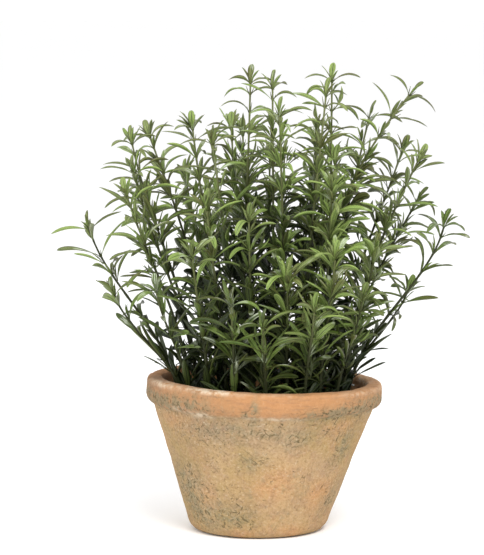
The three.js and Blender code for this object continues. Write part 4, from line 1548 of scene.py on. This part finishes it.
@dataclass
class SoilBed:
    """Dark crumbly peat that fills the pot to just under its rim."""

    pot: ClayPot
    gap: float = 0.3
    wall_room: float = 0.4
    foot_room: float = 3.0
    levels: tuple[float, ...] = (14.0, 40.0, 60.0)
    edge_z: float = 75.5
    crown: float = 1.3
    lumps: tuple[Trio, ...] = ((0.9, 0.11, 0), (0.7, 0.33, 5), (0.35, 0.9, 0))
    edge_lumps: float = 0.4
    inner_lumps: float = 0.6
    edge_power: int = 8
    turns: int = 144
    rings: int = 56
    crumbs: int = 420
    crumb_sizes: Trio = (0.6, 1.9, 2.5)
    crumb_lift: float = 0.15
    crumb_reach: float = 0.95
    crumb_ragged: Pair = (0.75, 1.25)
    crumb_flat: float = 0.8
    crumb_rings: int = 3
    crumb_sides: int = 6
    seed: int = 515

    def top(self, x: float, y: float, share: float) -> float:
        """Height of the surface at a place, before the pot's lean.

        Args:
            x: Its place to the right of the axis.
            y: Its place behind the axis.
            share: Its distance from the axis, as a share of the soil's radius.

        Returns:
            The height in mm.
        """
        at = Vector((x, y, 0))
        lumps = 0.0
        for high, scale, shift in self.lumps:
            lumps += high * noise.noise(at * scale + Vector([shift] * 3))
        calm = self.edge_lumps + self.inner_lumps * (1 - share**self.edge_power)
        return self.edge_z + self.crown * (1 - share * share) + lumps * calm

    def radius(self, z: float) -> float:
        """How far out the soil reaches at a height."""
        return self.pot.inner_radius(z) - self.gap - self.wall_room

    def build(self, material: Material) -> None:
        """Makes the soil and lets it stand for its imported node.

        Args:
            material: What the soil is made of.
        """
        draft = Draft(("crumb",))
        bottom, radius = self.pot.floor + self.gap, self.radius(self.edge_z)
        outline = [(self.pot.inner_foot_radius - self.foot_room, bottom)]
        outline += [(self.radius(z), z) for z in self.levels]
        rows = [[(r, z)] * self.turns for r, z in outline]
        turns = [2 * math.pi * k / self.turns for k in range(self.turns)]
        for ring in range(self.rings, 0, -1):
            share = ring / self.rings
            r = radius * share
            rows.append([(r, self.top(r * math.cos(a), r * math.sin(a), share)) for a in turns])
        points = [self.pot.lean(0, 0, bottom)]
        for row in rows:
            for (r, z), a in zip(row, turns):
                points.append(self.pot.lean(r * math.cos(a), r * math.sin(a), z))
        points.append(self.pot.lean(0, 0, self.top(0, 0, 0)))
        draft.add(np.array(points), tube_faces(len(rows), self.turns), {"crumb": 0.0})
        self.scatter(draft, radius)
        piece = draft.piece("peat_soil", "soil", material)
        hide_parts("soil")
        log.info("%s: %d triangles", piece.name, draft.triangles())

    def scatter(self, draft: Draft, radius: float) -> None:
        """Adds loose crumbs, sunk to about half in the surface.

        Args:
            draft: The soil's mesh so far.
            radius: The soil's radius at its surface.
        """
        dice = Dice(self.seed)
        least, more, power = self.crumb_sizes
        faces = tube_faces(self.crumb_rings, self.crumb_sides)
        levels = [math.pi * (ring + 1) / (self.crumb_rings + 1) for ring in range(self.crumb_rings)]
        turns = [2 * math.pi * k / self.crumb_sides for k in range(self.crumb_sides)]
        ways = [(math.sin(a) * math.cos(b), math.sin(a) * math.sin(b), -self.crumb_flat * math.cos(a))
                for a, b in product(levels, turns)]
        for _ in range(self.crumbs):
            reach = radius * self.crumb_reach * math.sqrt(dice.throw())
            angle = dice.between(0, 2 * math.pi)
            x, y = reach * math.cos(angle), reach * math.sin(angle)
            size = least + more * dice.throw() ** power
            z = self.top(x, y, reach / radius) + size * self.crumb_lift
            middle, pole = np.array(self.pot.lean(x, y, z)), np.array([0, 0, size * self.crumb_flat])
            far = [size * dice.between(*self.crumb_ragged) for _ in ways]
            rings = middle + np.array(far)[:, None] * np.array(ways)
            points = np.vstack([middle - pole, rings, middle + pole])
            draft.add(points, faces, {"crumb": dice.throw()})


Colour = Trio
Socket = bpy.types.NodeSocket
Value = Socket | float
Paint = Socket | Colour


class Run(NamedTuple):
    """A smooth step: what runs from low to high becomes start to end, and is held there."""

    low: float
    high: float
    start: float = 0.0
    end: float = 1.0


class Grain(NamedTuple):
    """A noise: how fine it is, its layers, their roughness, and how far it is bent."""

    scale: float
    layers: float
    rough: float
    bend: float = 0.0


class NodeBench:
    """Adds and links the shader nodes of one material, whose colour is laid on coat by coat."""

    NOISE_TAKES = ("Vector", "Scale", "Detail", "Roughness", "Distortion")
    STEP_TAKES = ("Value", "From Min", "From Max", "To Min", "To Max")
    BLEND_TAKES, BLEND_GIVES = (0, 6, 7), 2
    BUMP_TAKES = ("Height", "Strength", "Distance")

    def __init__(self, name: str) -> None:
        """Starts a material with its Principled shader.

        Args:
            name: The material's name.
        """
        self.made = bpy.data.materials.new(name)
        self.made.use_nodes = True
        self.tree = self.made.node_tree
        self.own = self.node("ShaderNodeTexCoord").outputs["Object"]
        self.place = self.coordinates()
        self.base: Paint = (1.0, 1.0, 1.0)

    def join(self, source: Value | Paint, target: Socket) -> None:
        """Links a socket to another, or sets its value.

        Args:
            source: The socket to link, or the value.
            target: The socket that takes it.
        """
        if isinstance(source, Socket):
            self.tree.links.new(source, target)
        else:
            target.default_value = (*source, 1.0) if target.type == "RGBA" else source

    def node(self, kind: str, takes: Sequence[str | int] = (), values: Sequence[Value | Paint] = (),
             **settings: str) -> bpy.types.Node:
        """Adds a node.

        Args:
            kind: Its kind.
            takes: Its inputs, by name or number.
            values: Their values.
            settings: Its settings by name.

        Returns:
            The node.
        """
        made = self.tree.nodes.new(kind)
        for name, setting in settings.items():
            setattr(made, name, setting)
        for name, value in zip(takes, values):
            self.join(value, made.inputs[name])
        return made

    def coordinates(self, stretch: Colour = (1, 1, 1), turn: float = 0.0) -> Socket:
        """The piece's own coordinates after a turn about y, so that marks are stretched."""
        takes, values = ("Vector", "Scale", "Rotation"), (self.own, stretch, (0.0, turn, 0.0))
        return self.node("ShaderNodeMapping", takes, values, vector_type="TEXTURE").outputs["Vector"]

    def noise(self, grain: Grain, place: Socket | None = None) -> Socket:
        """A noise from 0 to 1, at the piece's own coordinates if it is given no others."""
        values = (place or self.place, *grain)
        return self.node("ShaderNodeTexNoise", self.NOISE_TAKES, values).outputs["Fac"]

    def ramp(self, value: Value, stops: Sequence[tuple[float, Colour]]) -> Socket:
        """A colour for each value, read off a row of stops.

        Args:
            value: The value.
            stops: Each stop's position and colour, in order.

        Returns:
            The colour.
        """
        made = self.node("ShaderNodeValToRGB", ["Fac"], [value])
        elements = made.color_ramp.elements
        while len(elements) < len(stops):
            elements.new(0.5)
        for element, (position, colour) in zip(elements, stops):
            element.position = position
            element.color = (*colour, 1.0)
        return made.outputs["Color"]

    def step(self, value: Value, run: Run) -> Socket:
        """A value stepped smoothly."""
        settings = {"interpolation_type": "SMOOTHSTEP"}
        return self.node("ShaderNodeMapRange", self.STEP_TAKES, (value, *run), **settings).outputs["Result"]

    def mask(self, grain: Grain, run: Run) -> Socket:
        """A noise stepped smoothly."""
        return self.step(self.noise(grain), run)

    def blend(self, share: Value, first: Paint, second: Paint, mode: str = "MIX") -> Socket:
        """Two colours mixed by the second one's share."""
        settings, values = {"data_type": "RGBA", "blend_type": mode}, (share, first, second)
        return self.node("ShaderNodeMix", self.BLEND_TAKES, values, **settings).outputs[self.BLEND_GIVES]

    def coat(self, share: Value, colour: Paint) -> None:
        """Lays a colour over the base by its share."""
        self.base = self.blend(share, self.base, colour)

    def tint(self, share: Value, colour: Paint) -> None:
        """Multiplies the base by a colour by its share."""
        self.base = self.blend(share, self.base, colour, "MULTIPLY")

    def sum(self, kind: str, first: Value, second: Value) -> Socket:
        """A sum, product or other figure of two values."""
        return self.node("ShaderNodeMath", (0, 1), (first, second), operation=kind).outputs[0]

    def times(self, first: Value, second: Value) -> Socket:
        """The product of two values."""
        return self.sum("MULTIPLY", first, second)

    def most(self, first: Value, second: Value) -> Socket:
        """The greater of two values."""
        return self.sum("MAXIMUM", first, second)

    def attribute(self, name: str) -> Socket:
        """A number that the mesh carries at each point."""
        return self.node("ShaderNodeAttribute", attribute_name=name).outputs["Fac"]

    def bump(self, height: Socket, strength: float, distance: float) -> Socket:
        """A normal bent by a height value, with the metres that a height of one stands for."""
        return self.node("ShaderNodeBump", self.BUMP_TAKES, (height, strength, distance)).outputs["Normal"]

    def finish(self, rough: Value, normal: Socket, specular: float) -> Material:
        """Joins the base and the rest of the finish to the shader.

        Args:
            rough: The roughness.
            normal: The normal.
            specular: The strength of reflections.

        Returns:
            The material.
        """
        inputs = self.tree.nodes["Principled BSDF"].inputs
        for name, value in (("Base Color", self.base), ("Roughness", rough), ("Normal", normal)):
            self.join(value, inputs[name])
        inputs["Specular IOR Level"].default_value = specular
        return self.made


class LeafFinish(NodeBench):
    """Satin leaves: dark green when old, pale olive when young, painted shade and light, groove, dark
    margins.
    """

    # Painted shade: HIDDEN is the near-black green of leaves deep inside the bush
    HIDDEN, OLD = (0.010, 0.021, 0.004), (0.036, 0.054, 0.008)
    GROWN, YOUNG = (0.117, 0.190, 0.028), (0.292, 0.354, 0.128)
    BY_AGE = ((0.0, HIDDEN), (0.28, OLD), (0.62, GROWN), (1.0, YOUNG))
    LIVELY, FRESH, DULL = Run(0.06, 0.5), Run(0.5, 1.0, 0.0, 0.85), Run(0.42, 0.0, 0.0, 0.5)
    # SUNNY is the green of painted sunlight, laid where the tone is high and where the sun patches fall
    SUNNY = (0.268, 0.380, 0.090)
    BRONZE, TANNED = (0.165, 0.135, 0.035), (Grain(42, 2, 0.5), Run(0.50, 0.66, 0.0, 0.55))
    TANNED_BY_AGE, TANNED_UNLESS_FRESH = Run(0.2, 0.6), Run(0.5, 0.0)

    # Painted shade in the groove and between the ribs, by the share across the leaf
    RIBS = ((0.0, 0.16), (0.10, 0.24), (0.20, 0.95), (0.40, 1.0), (0.50, 0.38), (0.60, 0.95), (0.90, 1.0))
    RIB_SHARE = 0.9
    MARGIN, MARGIN_RUN, BROWN_RUN = (0.075, 0.058, 0.018), Run(0.66, 0.92, 0.0, 0.8), Run(0.6, 0.1)
    # PALE is a painted highlight, along the edge and in streaks
    PALE, EDGE_RUN = (0.36, 0.42, 0.13), Run(0.72, 0.98, 0.0, 0.55)

    LEAF_SCALES = {"across": 5.5, "along": 1.6, "tone": 97.0}
    STREAKS, STREAK = Grain(1.0, 3, 0.6), (0.42, 0.48, 0.32)
    # PALE_RUN picks the pale painted highlight streaks
    STREAK_RUN, PALE_RUN = Run(0.45, 0.70, 0.0, 0.7), Run(0.46, 0.30, 0.0, 0.3)
    VEINS, VEIN_SLANT, CRIMP = 120.0, 7.0, (0.55, 0.62, 0.42)
    VEIN_RUN, BESIDE_GROOVE = Run(0.1, 0.9, 0.0, 0.5), Run(0.1, 0.3)
    SPECKS, SPECK, SPECK_RUN = Grain(1300, 4, 0.7), (0.5, 0.56, 0.38), Run(0.44, 0.66, 0.0, 0.4)
    UNDERSIDE, BELOW_RUN = (0.10, 0.13, 0.045), Run(0.2, 1.0, 0.0, 0.25)
    # Painted glossy highlight spots on the upper side
    SHINE, GLOSSY = (0.58, 0.63, 0.50), (Grain(62, 2, 0.5), Run(0.56, 0.66, 0.0, 0.75))
    GLOSSY_STREAKS, GLOSSY_ABOVE = Run(0.56, 0.44), Run(0.5, 0.0)

    BARK, GREEN_STEM, SILVER_STEM = (0.028, 0.034, 0.009), (0.125, 0.140, 0.050), (0.26, 0.32, 0.20)
    STEM_BY_AGE = ((0.0, BARK), (0.9, GREEN_STEM))
    SILVER_RUN, WOODY_RUN = Run(0.62, 0.66, 0.0, 0.8), Run(0.1, 1.0, 0.0, 0.9)
    FINE, STREAK_HEIGHT, CRIMP_DEPTH, BUMP = Grain(2600, 3, 0.6), 1.2, 0.8, (0.6, 0.0003)
    ROUGH_RUN, WOODY_ROUGH, SPECULAR = Run(0.3, 0.75, 0.27, 0.44), 0.7, 0.30

    def __init__(self) -> None:
        """Starts the material with the values that several of its marks share."""
        super().__init__("rosemary_leaf")
        numbers = (self.attribute(name) for name in Foliage.NAMES)
        self.across, self.along, self.under, self.tone, self.age, self.woody = numbers
        self.lively = self.step(self.age, self.LIVELY)
        self.fresh = self.times(self.step(self.tone, self.FRESH), self.lively)
        self.streaks = self.noise(self.STREAKS, self.on_leaf())
        slant = self.times(self.across, self.VEIN_SLANT)
        veins = self.sum("SUBTRACT", self.times(self.along, self.VEINS), slant)
        crimped = self.step(self.sum("SINE", veins, 0.0), self.VEIN_RUN)
        self.crimped = self.times(crimped, self.step(self.across, self.BESIDE_GROOVE))
        self.specks = self.noise(self.SPECKS)

    def on_leaf(self) -> Socket:
        """Coordinates that run along each leaf, so that marks on it become long streaks.

        Returns:
            The coordinates.
        """
        made = self.tree.nodes.new("ShaderNodeCombineXYZ")
        for socket, (name, scale) in zip(made.inputs, self.LEAF_SCALES.items()):
            self.join(self.times(self.attribute(name), scale), socket)
        return made.outputs["Vector"]

    def material(self) -> Material:
        """The leaf and stem material.

        Returns:
            The material.
        """
        self.green()
        self.line()
        self.mark()
        stem = self.ramp(self.age, self.STEM_BY_AGE)
        stem = self.blend(self.step(self.tone, self.SILVER_RUN), stem, self.SILVER_STEM)
        self.coat(self.step(self.woody, self.WOODY_RUN), stem)
        fine = self.sum("ADD", self.noise(self.FINE), self.times(self.streaks, self.STREAK_HEIGHT))
        fine = self.sum("SUBTRACT", fine, self.times(self.crimped, self.CRIMP_DEPTH))
        rough = self.step(self.specks, self.ROUGH_RUN)
        rough = self.most(rough, self.times(self.woody, self.WOODY_ROUGH))
        return self.finish(rough, self.bump(fine, *self.BUMP), self.SPECULAR)

    def green(self) -> None:
        """Lays on the green by age, painted shade and tone, with painted sunlight and bronze patches."""
        self.base = self.ramp(self.age, self.BY_AGE)
        # Painted sunlight
        self.coat(self.fresh, self.SUNNY)
        self.coat(self.step(self.tone, self.DULL), self.OLD)
        tanned = self.times(self.mask(*self.TANNED), self.step(self.age, self.TANNED_BY_AGE))
        self.coat(self.times(tanned, self.step(self.fresh, self.TANNED_UNLESS_FRESH)), self.BRONZE)

    def line(self) -> None:
        """Lays on painted shade in groove and ribs, the brown margin, and a thin painted highlight at the
        edge.
        """
        ribs = self.ramp(self.across, [(at, (dark, dark, dark)) for at, dark in self.RIBS])
        self.tint(self.RIB_SHARE, ribs)
        brown = self.times(self.lively, self.step(self.fresh, self.BROWN_RUN))
        self.coat(self.times(self.step(self.across, self.MARGIN_RUN), brown), self.MARGIN)
        self.coat(self.times(self.step(self.across, self.EDGE_RUN), self.fresh), self.PALE)

    def mark(self) -> None:
        """Lays on streaks, veins, specks, the paler underside, and painted highlight streaks and spots."""
        self.tint(self.step(self.streaks, self.STREAK_RUN), self.STREAK)
        # Pale painted highlight streaks
        self.coat(self.times(self.step(self.streaks, self.PALE_RUN), self.lively), self.PALE)
        self.tint(self.times(self.crimped, self.lively), self.CRIMP)
        self.tint(self.step(self.specks, self.SPECK_RUN), self.SPECK)
        self.coat(self.times(self.step(self.under, self.BELOW_RUN), self.lively), self.UNDERSIDE)
        # Painted highlight spots on the upper side
        glossy = self.times(self.mask(*self.GLOSSY), self.step(self.streaks, self.GLOSSY_STREAKS))
        glossy = self.times(self.times(glossy, self.lively), self.step(self.under, self.GLOSSY_ABOVE))
        self.coat(glossy, self.SHINE)


class ClayFinish(NodeBench):
    """Weathered fired clay: grainy tan, orange breaking through, grey-green growth and scratches."""

    TAN, OCHRE = (0.432, 0.291, 0.151), (0.370, 0.250, 0.106)
    GROUND = Grain(24, 4, 0.6), Run(0.38, 0.62)
    ORANGE, WARM = (0.49, 0.265, 0.115), (Grain(38, 5, 0.65), Run(0.52, 0.72, 0.0, 0.6))
    GLOW_EDGE = Grain(75, 6, 0.75), Run(0.32, 0.58, 0.3, 1.3)
    BROWN, BROWN_SPOTS = (0.33, 0.215, 0.132), (Grain(150, 6, 0.75), Run(0.42, 0.66, 0.0, 0.55))
    SHADE_EDGE = Grain(130, 6, 0.75), Run(0.35, 0.62, 0.25, 1.1)
    RIM, RIM_RUN, RIM_STREAK = (0.43, 0.203, 0.086), Run(0.1, 0.9, 0.0, 0.85), (0.31, 0.155, 0.078)
    RIM_STRETCH, RIM_GRAIN, RIM_STREAKS = (6.0, 6.0, 1.0), Grain(420, 5, 0.7), Run(0.46, 0.66, 0.0, 0.8)

    GROWTH, GROWTH_EDGE = (0.200, 0.182, 0.110), (Grain(210, 6, 0.8), Run(0.40, 0.60, 0.16, 0.72))
    SPECKS, SPECKED_GROWTH = (Grain(900, 3, 0.6), Run(0.60, 0.68, 0.0, 0.8)), Run(0.7, 1.5)
    STREWN_GROWTH, MOST_GROWTH = (Grain(120, 6, 0.75), Run(0.54, 0.70, 0.0, 0.45)), 0.72

    GRAIN, CALM_RIM = Grain(620, 6, 0.8), Run(0.0, 1.0, 1.0, 0.3)
    DARK_GRAIN, DARK_RUN = (0.50, 0.48, 0.40), Run(0.52, 0.34, 0.0, 0.62)
    PALE_RUN = Run(0.53, 0.70, 0.0, 0.5)

    SCRATCH, STROKES = (0.140, 0.104, 0.048), ((32, 720), (-48, 640), (80, 800))
    STROKE_STRETCH, STROKE_GRAIN, STROKE_RUN = (1.0, 1.0, 6.0), (2, 0.5, 0.3), Run(0.62, 0.69)
    GROWN_SHARE, GROWN_STROKES = 0.2, 3.6
    STROKE_PLACES, STROKE_SPREAD = Grain(90, 5, 0.7), Run(0.53, 0.68, 0.02, 0.9)

    LIME, CHIP_EDGE = (0.60, 0.49, 0.36), (Grain(240, 5, 0.7), Run(0.36, 0.62))
    STREWN_CHIPS, MOST_CHIPS = (Grain(330, 4, 0.6), Run(0.64, 0.74, 0.0, 0.4)), 0.85
    PITS, GRAIN_HEIGHT, MARK_DEPTH, BUMP = Grain(300, 4, 0.6), 0.5, 0.8, (0.8, 0.0010)
    ROUGH_RUN, SPECULAR = Run(0.3, 0.8, 0.84, 0.97), 0.2

    def __init__(self) -> None:
        """Starts the material with the values that several of its marks share."""
        super().__init__("weathered_clay")
        self.rim, self.growth = self.attribute("rim"), self.attribute("growth")
        self.body = self.sum("SUBTRACT", 1.0, self.rim)
        self.grain = self.noise(self.GRAIN)

    def material(self) -> Material:
        """The pot's material.

        Returns:
            The material.
        """
        marks, pits = self.marks(), self.noise(self.PITS)
        self.ground()
        self.weather()
        calm = self.step(self.rim, self.CALM_RIM)
        self.tint(self.times(self.step(self.grain, self.DARK_RUN), calm), self.DARK_GRAIN)
        self.coat(self.times(self.step(self.grain, self.PALE_RUN), calm), self.LIME)
        self.coat(marks, self.SCRATCH)
        self.chip()
        height = self.sum("ADD", self.times(self.grain, self.GRAIN_HEIGHT), pits)
        height = self.sum("SUBTRACT", height, self.times(marks, self.MARK_DEPTH))
        return self.finish(self.step(pits, self.ROUGH_RUN), self.bump(height, *self.BUMP), self.SPECULAR)

    def ground(self) -> None:
        """Lays on tan and ochre clay, orange at the rim and where it glows through, and brown patches."""
        glow = self.times(self.attribute("glow"), self.mask(*self.GLOW_EDGE))
        self.base = self.blend(self.mask(*self.GROUND), self.OCHRE, self.TAN)
        self.coat(self.most(glow, self.mask(*self.WARM)), self.ORANGE)
        self.coat(self.mask(*self.BROWN_SPOTS), self.BROWN)
        # Brown patches: painted shade just under the rim, brown stains elsewhere
        shaded = self.times(self.attribute("shade"), self.mask(*self.SHADE_EDGE))
        self.coat(shaded, self.BROWN)
        streaks = self.noise(self.RIM_GRAIN, self.coordinates(self.RIM_STRETCH))
        streaks = self.most(self.step(streaks, self.RIM_STREAKS), shaded)
        self.coat(self.step(self.rim, self.RIM_RUN), self.blend(streaks, self.RIM, self.RIM_STREAK))

    def weather(self) -> None:
        """Lays on grey-green growth in ragged thin patches, more of it in the listed patches."""
        specks = self.times(self.mask(*self.SPECKS), self.step(self.growth, self.SPECKED_GROWTH))
        self.coat(specks, self.SCRATCH)
        thin = self.times(self.growth, self.mask(*self.GROWTH_EDGE))
        cover = self.most(thin, self.times(self.mask(*self.STREWN_GROWTH), self.body))
        self.coat(self.sum("MINIMUM", cover, self.MOST_GROWTH), self.GROWTH)

    def marks(self) -> Socket:
        """Short fibre-like scratches in three directions, thicker in the grown patches.

        Returns:
            How much of a scratch there is.
        """
        marks: Value = 0.0
        for turn, scale in self.STROKES:
            along = self.coordinates(self.STROKE_STRETCH, math.radians(turn))
            stroke = self.step(self.noise(Grain(scale, *self.STROKE_GRAIN), along), self.STROKE_RUN)
            marks = self.most(marks, stroke)
        grown = self.times(self.growth, self.GROWN_SHARE)
        spread = self.sum("ADD", self.noise(self.STROKE_PLACES), grown)
        share = self.times(self.step(spread, self.STROKE_SPREAD), self.body)
        return self.times(marks, self.most(share, self.times(grown, self.GROWN_STROKES)))

    def chip(self) -> None:
        """Lays on pale limy chips along the rim's edges, and a few strewn on the body."""
        laid = self.times(self.attribute("chalk"), self.mask(*self.CHIP_EDGE))
        strewn = self.times(self.mask(*self.STREWN_CHIPS), self.body)
        self.coat(self.sum("MINIMUM", self.sum("ADD", laid, strewn), self.MOST_CHIPS), self.LIME)


class PeatFinish(NodeBench):
    """Dark peat with paler crumbs."""

    DARK, BROWN, BARK = (0.012, 0.009, 0.006), (0.045, 0.03, 0.018), (0.11, 0.07, 0.04)
    CRUMBS, BY_CRUMBS = Grain(320, 6, 0.7), ((0.35, DARK), (0.7, BROWN))
    BARK_RUN = Run(0.55, 1.0, 0.0, 0.8)
    GRAIN, ROUGH_RUN, BUMP, SPECULAR = Grain(1100, 6, 0.75), Run(0.2, 0.8, 0.9, 1.0), (1.0, 0.0015), 0.2

    def material(self) -> Material:
        """The soil's material.

        Returns:
            The material.
        """
        crumbs, grain = self.noise(self.CRUMBS), self.noise(self.GRAIN)
        self.base = self.ramp(crumbs, self.BY_CRUMBS)
        self.coat(self.step(self.attribute("crumb"), self.BARK_RUN), self.BARK)
        normal = self.bump(self.sum("ADD", grain, crumbs), *self.BUMP)
        return self.finish(self.step(grain, self.ROUGH_RUN), normal, self.SPECULAR)


@dataclass(frozen=True)
class Lamp:
    """A square soft light that looks at the plant's middle, in metres and watts."""

    name: str
    place: Trio
    size: float
    power: float
    aim: Trio = (0, 0, 0.14)

    def build(self) -> None:
        """Hangs the light."""
        data = bpy.data.lights.new(self.name, "AREA")
        data.energy = self.power
        data.size = self.size
        made = bpy.data.objects.new(self.name, data)
        made.location = self.place
        made.rotation_euler = (Vector(self.aim) - Vector(self.place)).to_track_quat("-Z", "Y").to_euler()
        bpy.context.scene.collection.objects.link(made)


@dataclass(frozen=True)
class Studio:
    """A white studio: pale floor, white surroundings, two large soft lights, and the camera."""

    floor_half: float = 55.0
    floor_below: float = 0.0002
    floor_colour: Colour = (0.96, 0.96, 0.96)
    floor_grain: Grain = Grain(3, 2, 0.5)
    floor_rough: Run = Run(0.2, 0.8, 0.5, 0.55)
    floor_bump: Pair = (0.02, 0.001)
    floor_specular: float = 0.2
    surround: float = 1.04
    lamps: tuple[Lamp, ...] = (
        Lamp("key_light", (0.55, -1.6, 2.0), 1.2, 50.0),
        Lamp("fill_light", (-1.5, -1.3, 1.3), 1.5, 16.0),
    )
    camera_place: Trio = (-0.0118, -1.6040, 0.310)
    camera_pitch: float = math.radians(5.72)
    lens: float = 175.9
    sees_to: float = 60.0

    def build(self) -> None:
        """Sets up floor, surroundings, lights and camera."""
        bpy.context.scene.view_settings.view_transform = "Standard"
        self.floor()
        self.surroundings()
        for lamp in self.lamps:
            lamp.build()
        self.camera()
        log.info("studio: floor, surroundings, two lights and camera")

    def floor(self) -> None:
        """A wide plain floor just under the pot."""
        half = self.floor_half
        made = bpy.data.meshes.new("floor")
        corners = [(-half, -half, 0), (half, -half, 0), (half, half, 0), (-half, half, 0)]
        made.from_pydata(corners, [], [(0, 1, 2, 3)])
        plane = bpy.data.objects.new("floor", made)
        plane.location.z = -self.floor_below
        bench = NodeBench("pale_floor")
        bench.base = self.floor_colour
        grain = bench.noise(self.floor_grain)
        rough, normal = bench.step(grain, self.floor_rough), bench.bump(grain, *self.floor_bump)
        made.materials.append(bench.finish(rough, normal, self.floor_specular))
        bpy.context.scene.collection.objects.link(plane)

    def surroundings(self) -> None:
        """Even white light from all round."""
        world = bpy.data.worlds.new("white_room")
        world.use_nodes = True
        background = world.node_tree.nodes["Background"]
        background.inputs["Color"].default_value = (1, 1, 1, 1)
        background.inputs["Strength"].default_value = self.surround
        bpy.context.scene.world = world

    def camera(self) -> None:
        """The camera at the photograph's angle."""
        data = bpy.data.cameras.new("camera")
        data.lens = self.lens
        data.clip_end = self.sees_to
        made = bpy.data.objects.new("camera", data)
        made.location = self.camera_place
        made.rotation_euler = (math.pi / 2 - self.camera_pitch, 0, 0)
        bpy.context.scene.collection.objects.link(made)
        bpy.context.scene.camera = made


def main() -> None:
    """Builds the pot, the soil and the sprigs in the studio."""
    logging.basicConfig(level=logging.INFO, format="%(name)s %(message)s")
    Studio().build()
    pot = ClayPot()
    pot.build(ClayFinish().material())
    SoilBed(pot).build(PeatFinish("dark_peat").material())
    bush = Bush()
    log.info("bush: %d sprigs, %d packed leaves", len(bush.sprigs), len(bush.standing))
    bush.fill_out()
    log.info("bush: %d further leaves", bush.extra)
    Foliage(bush, LeafFinish().material()).build()


if __name__ == "__main__":
    main()
